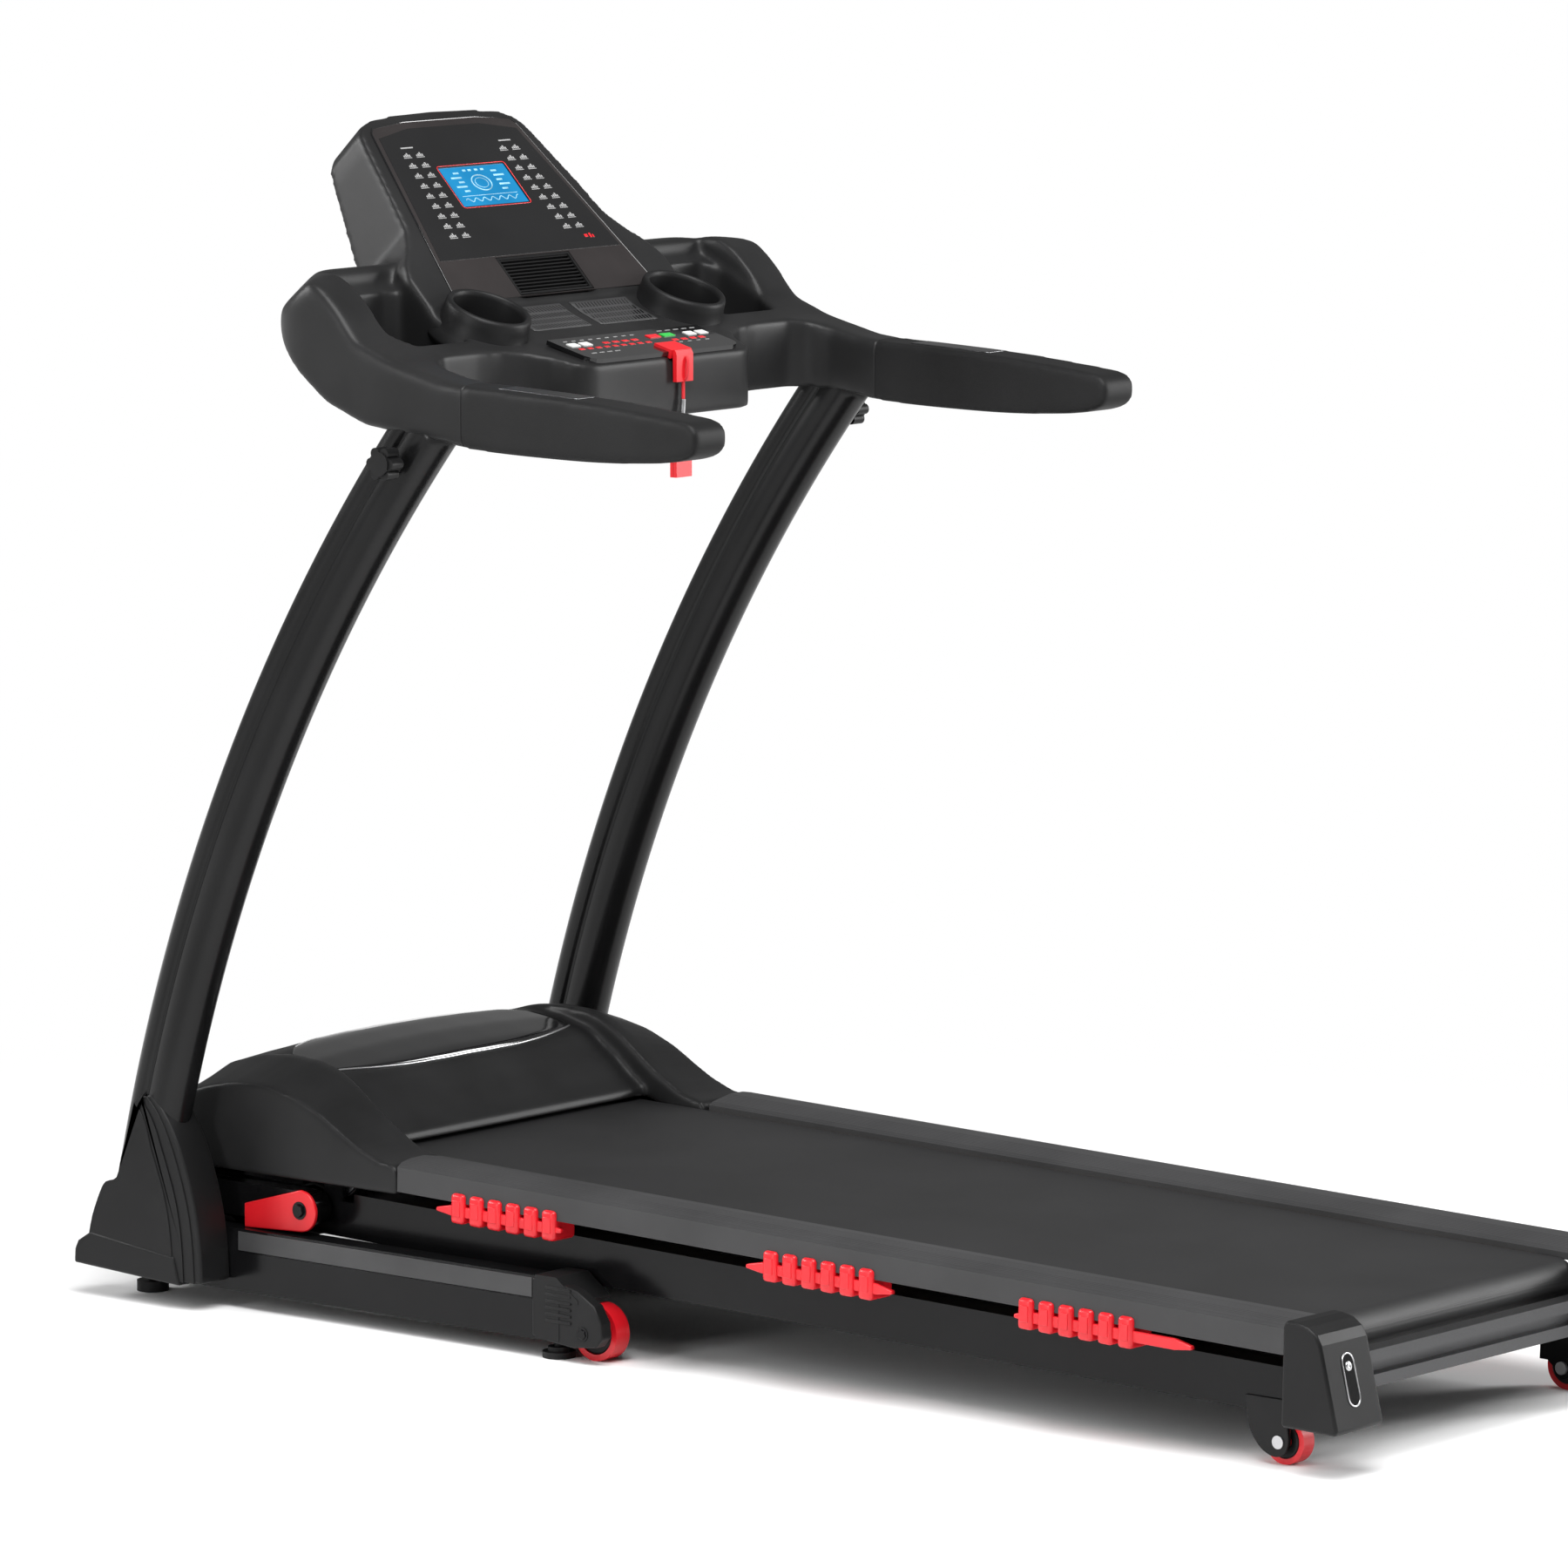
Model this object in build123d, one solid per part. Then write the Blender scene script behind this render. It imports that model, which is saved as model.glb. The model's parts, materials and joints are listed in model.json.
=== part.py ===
from build123d import *
import os
from math import asin, atan2, cos, degrees, hypot, radians, sin, tan

# Folding motorised treadmill.
# Millimetres. +X across the machine, +Y forward towards the console, +Z up.
# The origin is on the floor under the middle of the bounding box.

# ---------------------------------------------------------------- driving sizes
LENGTH = 1703.3
Y_FRONT = LENGTH / 2
SIDES = {"left": -1, "right": 1}

# base
BASE_TUBE_W = 50.0
BASE_TUBE_H = 68.0
BASE_TUBE_X = 301.0
BASE_TUBE_Z = 54.0
BASE_REAR_Y = 185.0
BASE_FRONT_Y = 812.0
BASE_IN_X = BASE_TUBE_X - BASE_TUBE_W / 2
BASE_OUT_X = BASE_TUBE_X + BASE_TUBE_W / 2
FOOT_R = 18.0
FOOT_FRONT_Y = 800.0
FOOT_REAR_Y = 196.0
TRANSPORT_R = 31.0
TRANSPORT_Y = 150.0
TRANSPORT_X = 289.0

# uprights: ovals swept round one large arc in the YZ plane
ARC_Y = -1269.6
ARC_Z = -315.0
ARC_R = 2082.0
UPRIGHT_W = 48.0
UPRIGHT_D = 76.0
UPRIGHT_X = BASE_OUT_X + UPRIGHT_W / 2
UPRIGHT_Z0 = 34.0
UPRIGHT_Z1 = 996.0
WALL = 2.0

# deck plane: belt surface, sloping down to the rear
DECK_SLOPE = 1.38
BELT_Z0 = 165.2
RAIL_OUT_X = 305.0
RAIL_IN_X = 225.0
RAIL_TOP = 13.5
RAIL_LOW = -21.5
RAIL_REAR = -782.0
RAIL_FRONT = 431.0
FRAME_IN_X = 228.0
FRAME_OUT_X = 268.0
FRAME_TOP = -43.5
FRAME_H = 50.0
FRAME_REAR = -800.0
FRAME_NOSE = 772.0
BELT_HALF = 219.0
BELT_T = 2.0
BOARD_T = 18.0
ROLLER_R = 23.0
ROLLER_FRONT_V = 560.0
ROLLER_REAR_V = -752.0
ROLLER_W = -BELT_T - ROLLER_R
AXLE_R = 8.0
PULLEY_R = 25.0
MOTOR_V = 690.0
MOTOR_W = -8.0
MOTOR_PULLEY_R = 12.0
DRIVE_X = -246.0

# pivots
FOLD_Y = 745.0
FOLD_Z = 118.0
LEVEL_Y = 576.5
LEVEL_Z = 116.0
ARM_IN_X = 274.0
ARM_OUT_X = 300.0
ARM_R = 25.0
PIVOT_R = 10.0
FIT = 0.05
GAP = 0.3
CROSSBAR_Y = 660.0
CROSSBAR_Z = 78.5
CROSSBAR_W = 40.0
CROSSBAR_H = 13.0
STRUT_Y0 = 710.0
STRUT_Z0 = 50.0
STRUT_Y1 = 200.0
STRUT_Z1 = 98.0
STRUT_X = 0.0
STRUT_R = 8.0
STRUT_PIN_R = 4.0
STRUT_ROD_R = 4.0
STRUT_REACH = 260.0
SLOT_R = 10.3
SLOT_STEPS = [(0.0, 0.0), (-4.5, -25.2), (-19.2, -50.1)]
LUG_Y = 660.0
LUG_Z = 96.5
LIFT_X = 120.0
LIFT_Y = 650.0
LIFT_Z = 196.0
LEVEL_PIN_R = 6.0
KNOB_Z = 968.0
KNOB_SHIFT = -8.0
REAR_WHEEL_X = 251.0
REAR_WHEEL_Y = -748.5
REAR_WHEEL_R = 25.0

# console
PANEL_TILT = 46.1
PANEL_Y = 499.0
PANEL_Z = 1162.0
PANEL_HALF = 172.0
HOUSING_TAPER = 0.203
ARM_HALF = 27.0
CONSOLE_ARM_X = 350.0
CONSOLE_OUT_X = CONSOLE_ARM_X + ARM_HALF
CONSOLE_IN_X = CONSOLE_ARM_X - ARM_HALF
CONSOLE_FRONT_Y = 577.0
CONSOLE_CORNER_R = 90.0
CONSOLE_WALL = 3.0
GRIP_SEAM_Y = 255.0
GRIP_END_Y = -70.0
FASCIA_Y = 297.0
FASCIA_HALF = 150.0
CUP_X = 165.0
CUP_Y = 417.0
CUP_Z = 1111.0
CUP_R = 43.0
CUP_DEPTH = 72.0
CUP_TILT = 22.0
KEYPAD_TILT = 14.6
KEYPAD_Y = 331.5
KEYPAD_Z = 1071.0
VENT_HALF = 61.0
LCD_HALF = 55.0
LCD_LOW = 72.0
LCD_HIGH = 129.0

# keys on the keypad: middle x, distance up the keypad, width, height
KEYS = {
    "start_key": (52.0, 14.0, 18.0, 9.0),
    "stop_key": (28.0, 14.0, 18.0, 9.0),
    "speed_up_key": (108.0, 12.0, 14.0, 10.0),
    "speed_down_key": (88.0, 12.0, 14.0, 10.0),
    "incline_up_key": (-88.0, 12.0, 14.0, 10.0),
    "incline_down_key": (-108.0, 12.0, 14.0, 10.0),
}

# safety key and the route of its lanyard
SAFETY_X = 17.0
LIP_Y = 289.0
CORD_R = 2.0
CORD_POINTS = [
    (SAFETY_X, 291.6, 1031.0),
    (SAFETY_X, 291.4, 1020.0),
    (SAFETY_X - 0.9, 290.8, 1008.0),
    (SAFETY_X - 2.6, 290.2, 995.5),
    (SAFETY_X - 4.6, 290.4, 983.0),
    (SAFETY_X - 6.0, 290.0, 970.0),
]

# rubber blocks between rails and frame
CUSHION_MIDDLES = (274.5, -168.5, -514.0)
CUSHION_PITCH = 26.2
BLOCKS_PER_ROW = 6

# trays outboard of the cups: their outline (x, y) and floor height
TRAY_OUTLINE = [(214, 402), (300, 402), (312, 430), (312, 486), (296, 505), (214, 505)]
TRAY_FLOOR = 1062.0

PARTS = {}


def export(name, shape):
    """Keep one finished node and write it as a STEP file."""
    PARTS[name] = shape
    export_step(shape, f"parts/{name}.step")


def box(x0, x1, y0, y1, z0, z1):
    """Axis-aligned box from its corner values."""
    size = (abs(x1 - x0), abs(y1 - y0), abs(z1 - z0))
    middle = ((x0 + x1) / 2, (y0 + y1) / 2, (z0 + z1) / 2)
    return Pos(*middle) * Box(*size)


def rod_x(x0, x1, y, z, r):
    """Cylinder along X."""
    return Pos((x0 + x1) / 2, y, z) * Rot(0, 90, 0) * Cylinder(r, abs(x1 - x0))


def ring_x(x0, x1, y, z, r_out, r_in):
    """Hollow cylinder along X."""
    return rod_x(x0, x1, y, z, r_out) - rod_x(x0, x1, y, z, r_in)


def rod_z(x, y, z0, z1, r):
    """Cylinder along Z."""
    return Pos(x, y, (z0 + z1) / 2) * Cylinder(r, abs(z1 - z0))


def side_prism(points, x0, x1):
    """Closed outline of (y, z) points, extruded along X from x0 to x1."""
    wire = Polyline(*[(x0, y, z) for y, z in points], close=True)
    return extrude(make_face(wire), amount=x1 - x0, dir=(1, 0, 0))


def plan_prism(points, z0, z1):
    """Closed outline of (x, y) points, extruded along Z from z0 to z1."""
    wire = Polyline(*[(x, y, z0) for x, y in points], close=True)
    return extrude(make_face(wire), amount=z1 - z0, dir=(0, 0, 1))


def long_prism(points, y0, y1):
    """Closed outline of (x, z) points, extruded along Y from y0 to y1."""
    wire = Polyline(*[(x, y0, z) for x, z in points], close=True)
    return extrude(make_face(wire), amount=y1 - y0, dir=(0, 1, 0))


def mirrored(points, side):
    """Outline points with their first value flipped for the left side."""
    return [(side * a, b) for a, b in points]


def deck_place(shape):
    """Move a piece from the deck's own level frame onto the sloping deck plane."""
    return Pos(0, 0, BELT_Z0) * Rot(DECK_SLOPE, 0, 0) * shape


def deck_coords(y, z):
    """Deck (v, w) of a world (y, z) point."""
    a = radians(DECK_SLOPE)
    return y * cos(a) + (z - BELT_Z0) * sin(a), (z - BELT_Z0) * cos(a) - y * sin(a)


def panel_point(s, n):
    """World (y, z) of a point s up the display panel and n above it."""
    a = radians(PANEL_TILT)
    return PANEL_Y + s * cos(a) - n * sin(a), PANEL_Z + s * sin(a) + n * cos(a)


def panel_place(shape):
    """Move a piece from the display panel's own frame onto the tilted panel."""
    return Pos(0, PANEL_Y, PANEL_Z) * Rot(PANEL_TILT, 0, 0) * shape


def keypad_place(shape):
    """Move a piece from the keypad's own frame onto the tilted keypad."""
    return Pos(0, KEYPAD_Y, KEYPAD_Z) * Rot(KEYPAD_TILT, 0, 0) * shape


# ---------------------------------------------------------------- base
def fold_lug(side):
    """Upright plate on a base tube that carries one fold pivot."""
    x0 = side * 307
    x1 = side * 315
    top_z = BASE_TUBE_Z + BASE_TUBE_H / 2
    lug = box(x0, x1, FOLD_Y - 22, FOLD_Y + 22, top_z - 1, FOLD_Z)
    lug += rod_x(x0, x1, FOLD_Y, FOLD_Z, 22)
    return lug - rod_x(x0, x1, FOLD_Y, FOLD_Z, PIVOT_R + FIT)


def base_side_tube(side):
    """Rectangular tube with bevelled top edges and closed walls."""
    w = BASE_TUBE_W / 2
    h = BASE_TUBE_H / 2
    bevel_x = 10
    bevel_z = 24
    outer = [(-w, -h), (w, -h), (w, h - bevel_z), (w - bevel_x, h), (-w + bevel_x, h), (-w, h - bevel_z)]
    inner = [(x * (w - WALL) / w, z * (h - WALL) / h) for x, z in outer]
    tube = long_prism(outer, BASE_REAR_Y, BASE_FRONT_Y) - long_prism(inner, BASE_REAR_Y, BASE_FRONT_Y)
    return Pos(side * BASE_TUBE_X, 0, BASE_TUBE_Z) * tube


def base_cross_tube(y0, y1, z0, z1):
    """Hollow cross tube between the inner faces of the base side tubes."""
    tube = box(-BASE_IN_X, BASE_IN_X, y0, y1, z0, z1)
    return tube - box(-BASE_IN_X, BASE_IN_X, y0 + WALL, y1 - WALL, z0 + WALL, z1 - WALL)


def wheel_bracket(side):
    """Steel ear at the rear of a base tube that carries the transport wheel's axle."""
    x = side * TRANSPORT_X
    ears = box(x - 17, x - 13, TRANSPORT_Y - 12, BASE_REAR_Y + 4, 22, 52)
    ears += box(x + 13, x + 17, TRANSPORT_Y - 12, BASE_REAR_Y + 4, 22, 52)
    return ears - rod_x(x - 20, x + 20, TRANSPORT_Y, TRANSPORT_R, 5)


def make_base_frame():
    """Two side tubes, two cross tubes, fold lugs, strut lugs and upright sockets."""
    frame = base_cross_tube(792, 838, 26, 74)
    for side in SIDES.values():
        frame += base_side_tube(side)
        frame += fold_lug(side)
        frame += wheel_bracket(side)
        for y in (FOOT_FRONT_Y, FOOT_REAR_Y):
            frame -= rod_z(side * (BASE_TUBE_X + 5), y, 0, 40, 5 + FIT)
    for x in (STRUT_X - 20, STRUT_X + 14):
        lug = box(x, x + 6, STRUT_Y0 - 12, 793, STRUT_Z0 - 12, STRUT_Z0 + 12)
        frame += lug - rod_x(x, x + 6, STRUT_Y0, STRUT_Z0, STRUT_PIN_R)
    return frame


def strut_base_pin():
    """Pin through the base lugs for the gas strut's eye."""
    return rod_x(STRUT_X - 20, STRUT_X + 20, STRUT_Y0, STRUT_Z0, STRUT_PIN_R)


def upright_section(inset):
    """Oval tube section at the arc's zero angle, drawn in the XY plane."""
    return SlotOverall(UPRIGHT_D - 2 * inset, UPRIGHT_W - 2 * inset, rotation=90)


def upright_solid(side, inset):
    """Oval section revolved about the arc's axis between the two end heights."""
    start = degrees(asin((UPRIGHT_Z0 - ARC_Z) / ARC_R))
    end = degrees(asin((UPRIGHT_Z1 - ARC_Z) / ARC_R))
    section = Pos(side * UPRIGHT_X, ARC_Y + ARC_R, ARC_Z) * upright_section(inset)
    axis = Axis((0, ARC_Y, ARC_Z), (1, 0, 0))
    swept = revolve(section, axis=axis, revolution_arc=end - start)
    return swept.rotate(axis, start)


def arc_point(z):
    """World y of the uprights' centre line at height z."""
    return ARC_Y + (ARC_R ** 2 - (z - ARC_Z) ** 2) ** 0.5


def make_upright(side):
    """Curved oval tube with the hole for its clamp knob."""
    tube = upright_solid(side, 0) - upright_solid(side, WALL)
    hole_x = side * (UPRIGHT_X + UPRIGHT_W / 2)
    return tube - rod_x(hole_x - 12, hole_x + 12, arc_point(KNOB_Z) + KNOB_SHIFT, KNOB_Z, 5 + FIT)


def cover_outline(grow):
    """Side outline (y, z) of the plastic cover round an upright's foot."""
    pts = [(645, 27), (Y_FRONT, 40), (Y_FRONT - 7, 62), (826, 150), (818, 150), (790, 236),
           (757, 240), (700, 205), (668, 150), (650, 80)]
    middle = (745, 130)
    out = []
    for y, z in pts:
        d = hypot(y - middle[0], z - middle[1])
        out.append((y + grow * (y - middle[0]) / d, z + grow * (z - middle[1]) / d))
    return out


def upright_cover(side):
    """Hollow cover that wraps the upright's foot and the front of the base tube."""
    x_in = side * (BASE_OUT_X + 1.2)
    x_out = side * 380
    cover = side_prism(cover_outline(0), x_in, x_out)
    inner = side_prism(cover_outline(-4), side * (BASE_OUT_X - 2), side * 376.5)
    cover = cover - inner
    return cover - upright_solid(side, -0.4)


def tube_end_cap(side):
    """Ribbed plastic cap on the rear end of a base tube, with the wheel's mudguard."""
    x0 = side * (BASE_IN_X - 2)
    x1 = side * (BASE_OUT_X + 2)
    outline = [(BASE_REAR_Y + 26, 22), (BASE_REAR_Y + 26, 92), (BASE_REAR_Y - 4, 92), (165, 80),
               (150, 70), (150, 66), (BASE_REAR_Y - 8, 66), (BASE_REAR_Y - 8, 22)]
    cap = side_prism(outline, x0, x1)
    inner = Pos(side * BASE_TUBE_X, 0, BASE_TUBE_Z) * box(
        -BASE_TUBE_W / 2 - GAP, BASE_TUBE_W / 2 + GAP, BASE_REAR_Y - 0.5, BASE_REAR_Y + 30,
        -BASE_TUBE_H / 2 - 1, BASE_TUBE_H / 2 + GAP)
    cap -= inner
    x = side * TRANSPORT_X
    cap -= box(x - 18, x + 18, 120, BASE_REAR_Y + 22, 20, 66)
    return cap


def both_sides(maker):
    """Left and right copies of a piece as one node of two solids."""
    return Compound(children=[maker(side) for side in SIDES.values()])


def make_transport_wheel(side):
    """Wheel with a raised rim, a web and a hub bore."""
    x = side * TRANSPORT_X
    z = TRANSPORT_R
    wheel = rod_x(x - 11, x + 11, TRANSPORT_Y, z, TRANSPORT_R)
    for s in (-1, 1):
        wheel -= ring_x(x + s * 6, x + s * 12, TRANSPORT_Y, z, 24, 11)
    return wheel - rod_x(x - 12, x + 12, TRANSPORT_Y, z, 5 + FIT)


def make_base_pins():
    """Axle bolts of both transport wheels and the gas strut's lower pin."""
    group = [strut_base_pin()]
    for side in SIDES.values():
        x = side * TRANSPORT_X
        z = TRANSPORT_R
        bolt = rod_x(x - 17, x + 17, TRANSPORT_Y, z, 5 - 0.05)
        bolt += rod_x(x - 21, x - 17, TRANSPORT_Y, z, 8)
        bolt += rod_x(x + 17, x + 21, TRANSPORT_Y, z, 8)
        group.append(bolt)
    return Compound(children=group)


def front_foot(side):
    """Fixed rubber pad under a base tube's front end."""
    x = side * (BASE_TUBE_X + 5)
    pad = rod_z(x, FOOT_FRONT_Y, 0, 12, FOOT_R)
    return pad + rod_z(x, FOOT_FRONT_Y, 12, 30, 5)


def make_levelling_foot(side, y):
    """Threaded stud with a round rubber-faced pad that turns to set the height."""
    x = side * (BASE_TUBE_X + 5)
    foot = rod_z(x, y, 0, 7, FOOT_R)
    foot += rod_z(x, y, 7, 12, 12)
    foot += rod_z(x, y, 12, 40, 5)
    return foot


# ---------------------------------------------------------------- fold and incline
def fold_pivot(side):
    """Stub shaft through a base lug and an incline arm."""
    shaft = rod_x(side * 272, side * 317, FOLD_Y, FOLD_Z, PIVOT_R)
    return shaft + rod_x(side * 317, side * 322, FOLD_Y, FOLD_Z, 14)


def crossbar_box(grow):
    """Flat crossbar between the incline arms, grown or shrunk in section."""
    half_w = CROSSBAR_W / 2 + grow
    half_h = CROSSBAR_H / 2 + grow
    return box(-272, 272, CROSSBAR_Y - half_w, CROSSBAR_Y + half_w, CROSSBAR_Z - half_h, CROSSBAR_Z + half_h)


def make_incline_frame():
    """U-shaped steel frame: two arms, gusset plates, pivot pins and the flat crossbar."""
    frame = crossbar_box(0) - crossbar_box(-WALL)
    for side in SIDES.values():
        x0 = side * ARM_IN_X
        x1 = side * (ARM_OUT_X - 3)
        arm = box(x0, x1, LEVEL_Y, FOLD_Y, FOLD_Z - 20, FOLD_Z + 18)
        arm += rod_x(x0, x1, FOLD_Y, FOLD_Z, 20)
        arm += rod_x(x0, x1, LEVEL_Y, LEVEL_Z, 19)
        plate = [(CROSSBAR_Y - 20, 72), (CROSSBAR_Y + 20, 72), (FOLD_Y - 16, FOLD_Z - 15),
                 (FOLD_Y - 16, FOLD_Z + 15), (LEVEL_Y + 40, FOLD_Z + 15), (LEVEL_Y + 40, FOLD_Z - 15)]
        gusset = side_prism(plate, side * 270.5, side * ARM_IN_X)
        frame += arm + gusset
        frame -= rod_x(side * 268, side * 302, FOLD_Y, FOLD_Z, PIVOT_R + FIT)
        frame += rod_x(side * 240, side * ARM_IN_X, LEVEL_Y, LEVEL_Z, LEVEL_PIN_R)
        frame += rod_x(side * (ARM_OUT_X - 4), side * (ARM_OUT_X + 5), LEVEL_Y, LEVEL_Z, 10)
    for x in (LIFT_X - 18, LIFT_X + 12):
        lug = box(x, x + 6, LUG_Y - 9, LUG_Y + 9, CROSSBAR_Z + 5, LUG_Z + 8)
        frame += lug
    frame += rod_x(LIFT_X - 18, LIFT_X + 18, LUG_Y, LUG_Z, 4)
    return frame


def arm_cover(side):
    """Red moulded cover over the outside of an incline arm."""
    x0 = side * (ARM_OUT_X - 3)
    x1 = side * (ARM_OUT_X + 1.5)
    cover = box(x0, x1, LEVEL_Y, FOLD_Y - 30, FOLD_Z - ARM_R, FOLD_Z + ARM_R)
    cover += rod_x(x0, x1, LEVEL_Y, LEVEL_Z + 2, ARM_R)
    return cover - rod_x(x0, x1, LEVEL_Y, LEVEL_Z, 10.5)


# ---------------------------------------------------------------- gas strut
def strut_frame(shape):
    """Move a piece drawn along +Z from the strut's base eye to its place."""
    angle = degrees(atan2(STRUT_Y0 - STRUT_Y1, STRUT_Z1 - STRUT_Z0))
    return Pos(STRUT_X, STRUT_Y0, STRUT_Z0) * Rot(angle, 0, 0) * shape


def strut_length():
    """Distance between the strut's eyes with the deck down."""
    return hypot(STRUT_Y0 - STRUT_Y1, STRUT_Z1 - STRUT_Z0)


def make_strut_cylinder():
    """Pressure tube with its eye on the base."""
    tube = Pos(0, 0, (STRUT_REACH + 16) / 2) * Cylinder(STRUT_R, STRUT_REACH - 16)
    tube -= Pos(0, 0, (STRUT_REACH + 14) / 2) * Cylinder(STRUT_R - 2, STRUT_REACH - 30)
    tube -= Pos(0, 0, STRUT_REACH) * Cylinder(STRUT_ROD_R + FIT, 40)
    eye = Rot(0, 90, 0) * Cylinder(9, 16)
    neck = Pos(0, 0, 12) * Cylinder(5, 16)
    eye_bore = Rot(0, 90, 0) * Cylinder(STRUT_PIN_R + FIT, 20)
    return strut_frame(tube + eye + neck - eye_bore)


def make_strut_rod():
    """Polished rod and piston, with a boss and the pin that runs in the deck's slotted plates."""
    total = strut_length()
    rod = Pos(0, 0, (total + 100) / 2) * Cylinder(STRUT_ROD_R, total - 100)
    piston = Pos(0, 0, 104) * Cylinder(STRUT_R - 2 - FIT, 8)
    boss = Pos(0, 0, total) * Rot(0, 90, 0) * Cylinder(9, 14)
    pin = Pos(0, 0, total) * Rot(0, 90, 0) * Cylinder(STRUT_PIN_R, 34)
    return strut_frame(rod + piston + boss + pin)


def slot_space(x0, x1):
    """Bent slot that the strut's upper pin runs along when the incline lifts the deck."""
    centres = [(STRUT_Y1 + dy, STRUT_Z1 + dz) for dy, dz in SLOT_STEPS]
    space = rod_x(x0, x1, *centres[0], SLOT_R)
    for (y0, z0), (y1, z1) in zip(centres, centres[1:]):
        scale = SLOT_R / hypot(y1 - y0, z1 - z0)
        dy = scale * (z0 - z1)
        dz = scale * (y1 - y0)
        link = [(y0 + dy, z0 + dz), (y1 + dy, z1 + dz), (y1 - dy, z1 - dz), (y0 - dy, z0 - dz)]
        space += side_prism(link, x0, x1) + rod_x(x0, x1, y1, z1, SLOT_R)
    return space


def slot_bracket():
    """Two slotted plates under a deck cross tube, already in place under the sloping deck."""
    outline = [(170.2, 110), (176, 114), (214, 114), (217, 96), (203, 36), (190, 31), (168, 31),
               (160, 44), (164, 82.5), (170.2, 82.5)]
    plates = side_prism(outline, STRUT_X - 15, STRUT_X - 9) + side_prism(outline, STRUT_X + 9, STRUT_X + 15)
    return plates - slot_space(STRUT_X - 16, STRUT_X + 16)


# ---------------------------------------------------------------- deck
def deck_tube(side):
    """One long hollow side tube of the main deck frame."""
    x0 = side * FRAME_IN_X
    x1 = side * FRAME_OUT_X
    low = FRAME_TOP - FRAME_H
    tube = box(x0, x1, FRAME_REAR, FRAME_NOSE, low, FRAME_TOP)
    tube -= box(x0 + side * WALL, x1 - side * WALL, FRAME_REAR, FRAME_NOSE, low + WALL, FRAME_TOP - WALL)
    return tube


def deck_cross(v0, v1, w0, w1):
    """Hollow cross tube between the deck frame's side tubes."""
    tube = box(-FRAME_IN_X, FRAME_IN_X, v0, v1, w0, w1)
    return tube - box(-FRAME_IN_X, FRAME_IN_X, v0 + WALL, v1 - WALL, w0 + WALL, w1 - WALL)


def make_deck_frame():
    """Main welded frame: side tubes, cross tubes, roller brackets, motor posts and strut plates."""
    frame = deck_cross(740, FRAME_NOSE, -88, -58)
    for v in (130, -120, -520):
        frame += deck_cross(v, v + 40, -88, -58)
    frame += deck_cross(600, 630, -88, -62)
    for side in SIDES.values():
        frame += deck_tube(side)
        frame += rear_fork(side)
    notch = (ROLLER_FRONT_V - 32, ROLLER_FRONT_V + 46)
    frame -= box(-FRAME_OUT_X - 1, -FRAME_IN_X + 1, *notch, -53.5, FRAME_TOP + 1)
    frame += box(-FRAME_OUT_X, -FRAME_IN_X, *notch, -56, -53.5)
    for x, foot in ((-267, -54), (232, FRAME_TOP - 1)):
        bracket = box(x, x + 5, ROLLER_FRONT_V - 14, ROLLER_FRONT_V + 14, foot, ROLLER_W + 14)
        frame += bracket - rod_x(x - 1, x + 6, ROLLER_FRONT_V, ROLLER_W, AXLE_R)
    for side in SIDES.values():
        along = (ROLLER_REAR_V - 14, ROLLER_REAR_V + 14)
        bracket = box(side * 232, side * 237, *along, FRAME_TOP - 1, ROLLER_W + 14)
        frame += bracket - rod_x(side * 231, side * 238, ROLLER_REAR_V, ROLLER_W, AXLE_R)
    v, w = deck_coords(LIFT_Y, LIFT_Z)
    for x in (LIFT_X - 36, LIFT_X + 30):
        post = box(x, x + 6, 602, v + 10, w - 12, w + 12)
        post += box(x, x + 6, 602, 628, -63, w + 12)
        frame += post - rod_x(x, x + 6, v, w, 5)
    v, w = deck_coords(LEVEL_Y, LEVEL_Z)
    for side in SIDES.values():
        frame -= rod_x(side * (FRAME_OUT_X - 4), side * (FRAME_OUT_X + 2), v, w, LEVEL_PIN_R + FIT)
    return deck_place(frame) + slot_bracket()


def make_deck_axles():
    """Roller axles, rear wheel axles and the lift trunnion pin."""
    v, w = deck_coords(LIFT_Y, LIFT_Z)
    lift_pin = rod_x(LIFT_X - 36, LIFT_X + 36, v, w, 5)
    front = rod_x(-267, 237, ROLLER_FRONT_V, ROLLER_W, AXLE_R)
    rear = rod_x(-237, 237, ROLLER_REAR_V, ROLLER_W, AXLE_R)
    group = [lift_pin, front, rear]
    v, w = deck_coords(REAR_WHEEL_Y, REAR_WHEEL_R)
    for side in SIDES.values():
        x = side * REAR_WHEEL_X
        bolt = rod_x(x - 17, x + 17, v, w, 4)
        bolt += rod_x(x - 21, x - 17, v, w, 7)
        bolt += rod_x(x + 17, x + 21, v, w, 7)
        group.append(bolt)
    return deck_place(Compound(children=group))


def make_deck_board():
    """Wax-faced running board under the belt."""
    board = box(-262, 262, ROLLER_REAR_V + 34, RAIL_FRONT - 2, -BELT_T - BOARD_T, -BELT_T)
    board += box(-220, 220, RAIL_FRONT - 3, ROLLER_FRONT_V - 34, -BELT_T - BOARD_T, -BELT_T)
    return deck_place(board)


def belt_loop(inset):
    """Stadium-shaped side outline round both rollers, offset inwards by inset."""
    r = ROLLER_R + BELT_T - inset
    mid = (ROLLER_FRONT_V + ROLLER_REAR_V) / 2
    span = ROLLER_FRONT_V - ROLLER_REAR_V
    side_plane = Plane(origin=(-BELT_HALF, mid, ROLLER_W), x_dir=(0, 1, 0), z_dir=(1, 0, 0))
    loop = side_plane * SlotCenterToCenter(span, 2 * r)
    return extrude(loop, amount=2 * BELT_HALF, dir=(1, 0, 0))


def make_running_belt():
    """Endless belt round both rollers."""
    return deck_place(belt_loop(0) - belt_loop(BELT_T - 0.05))


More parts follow.
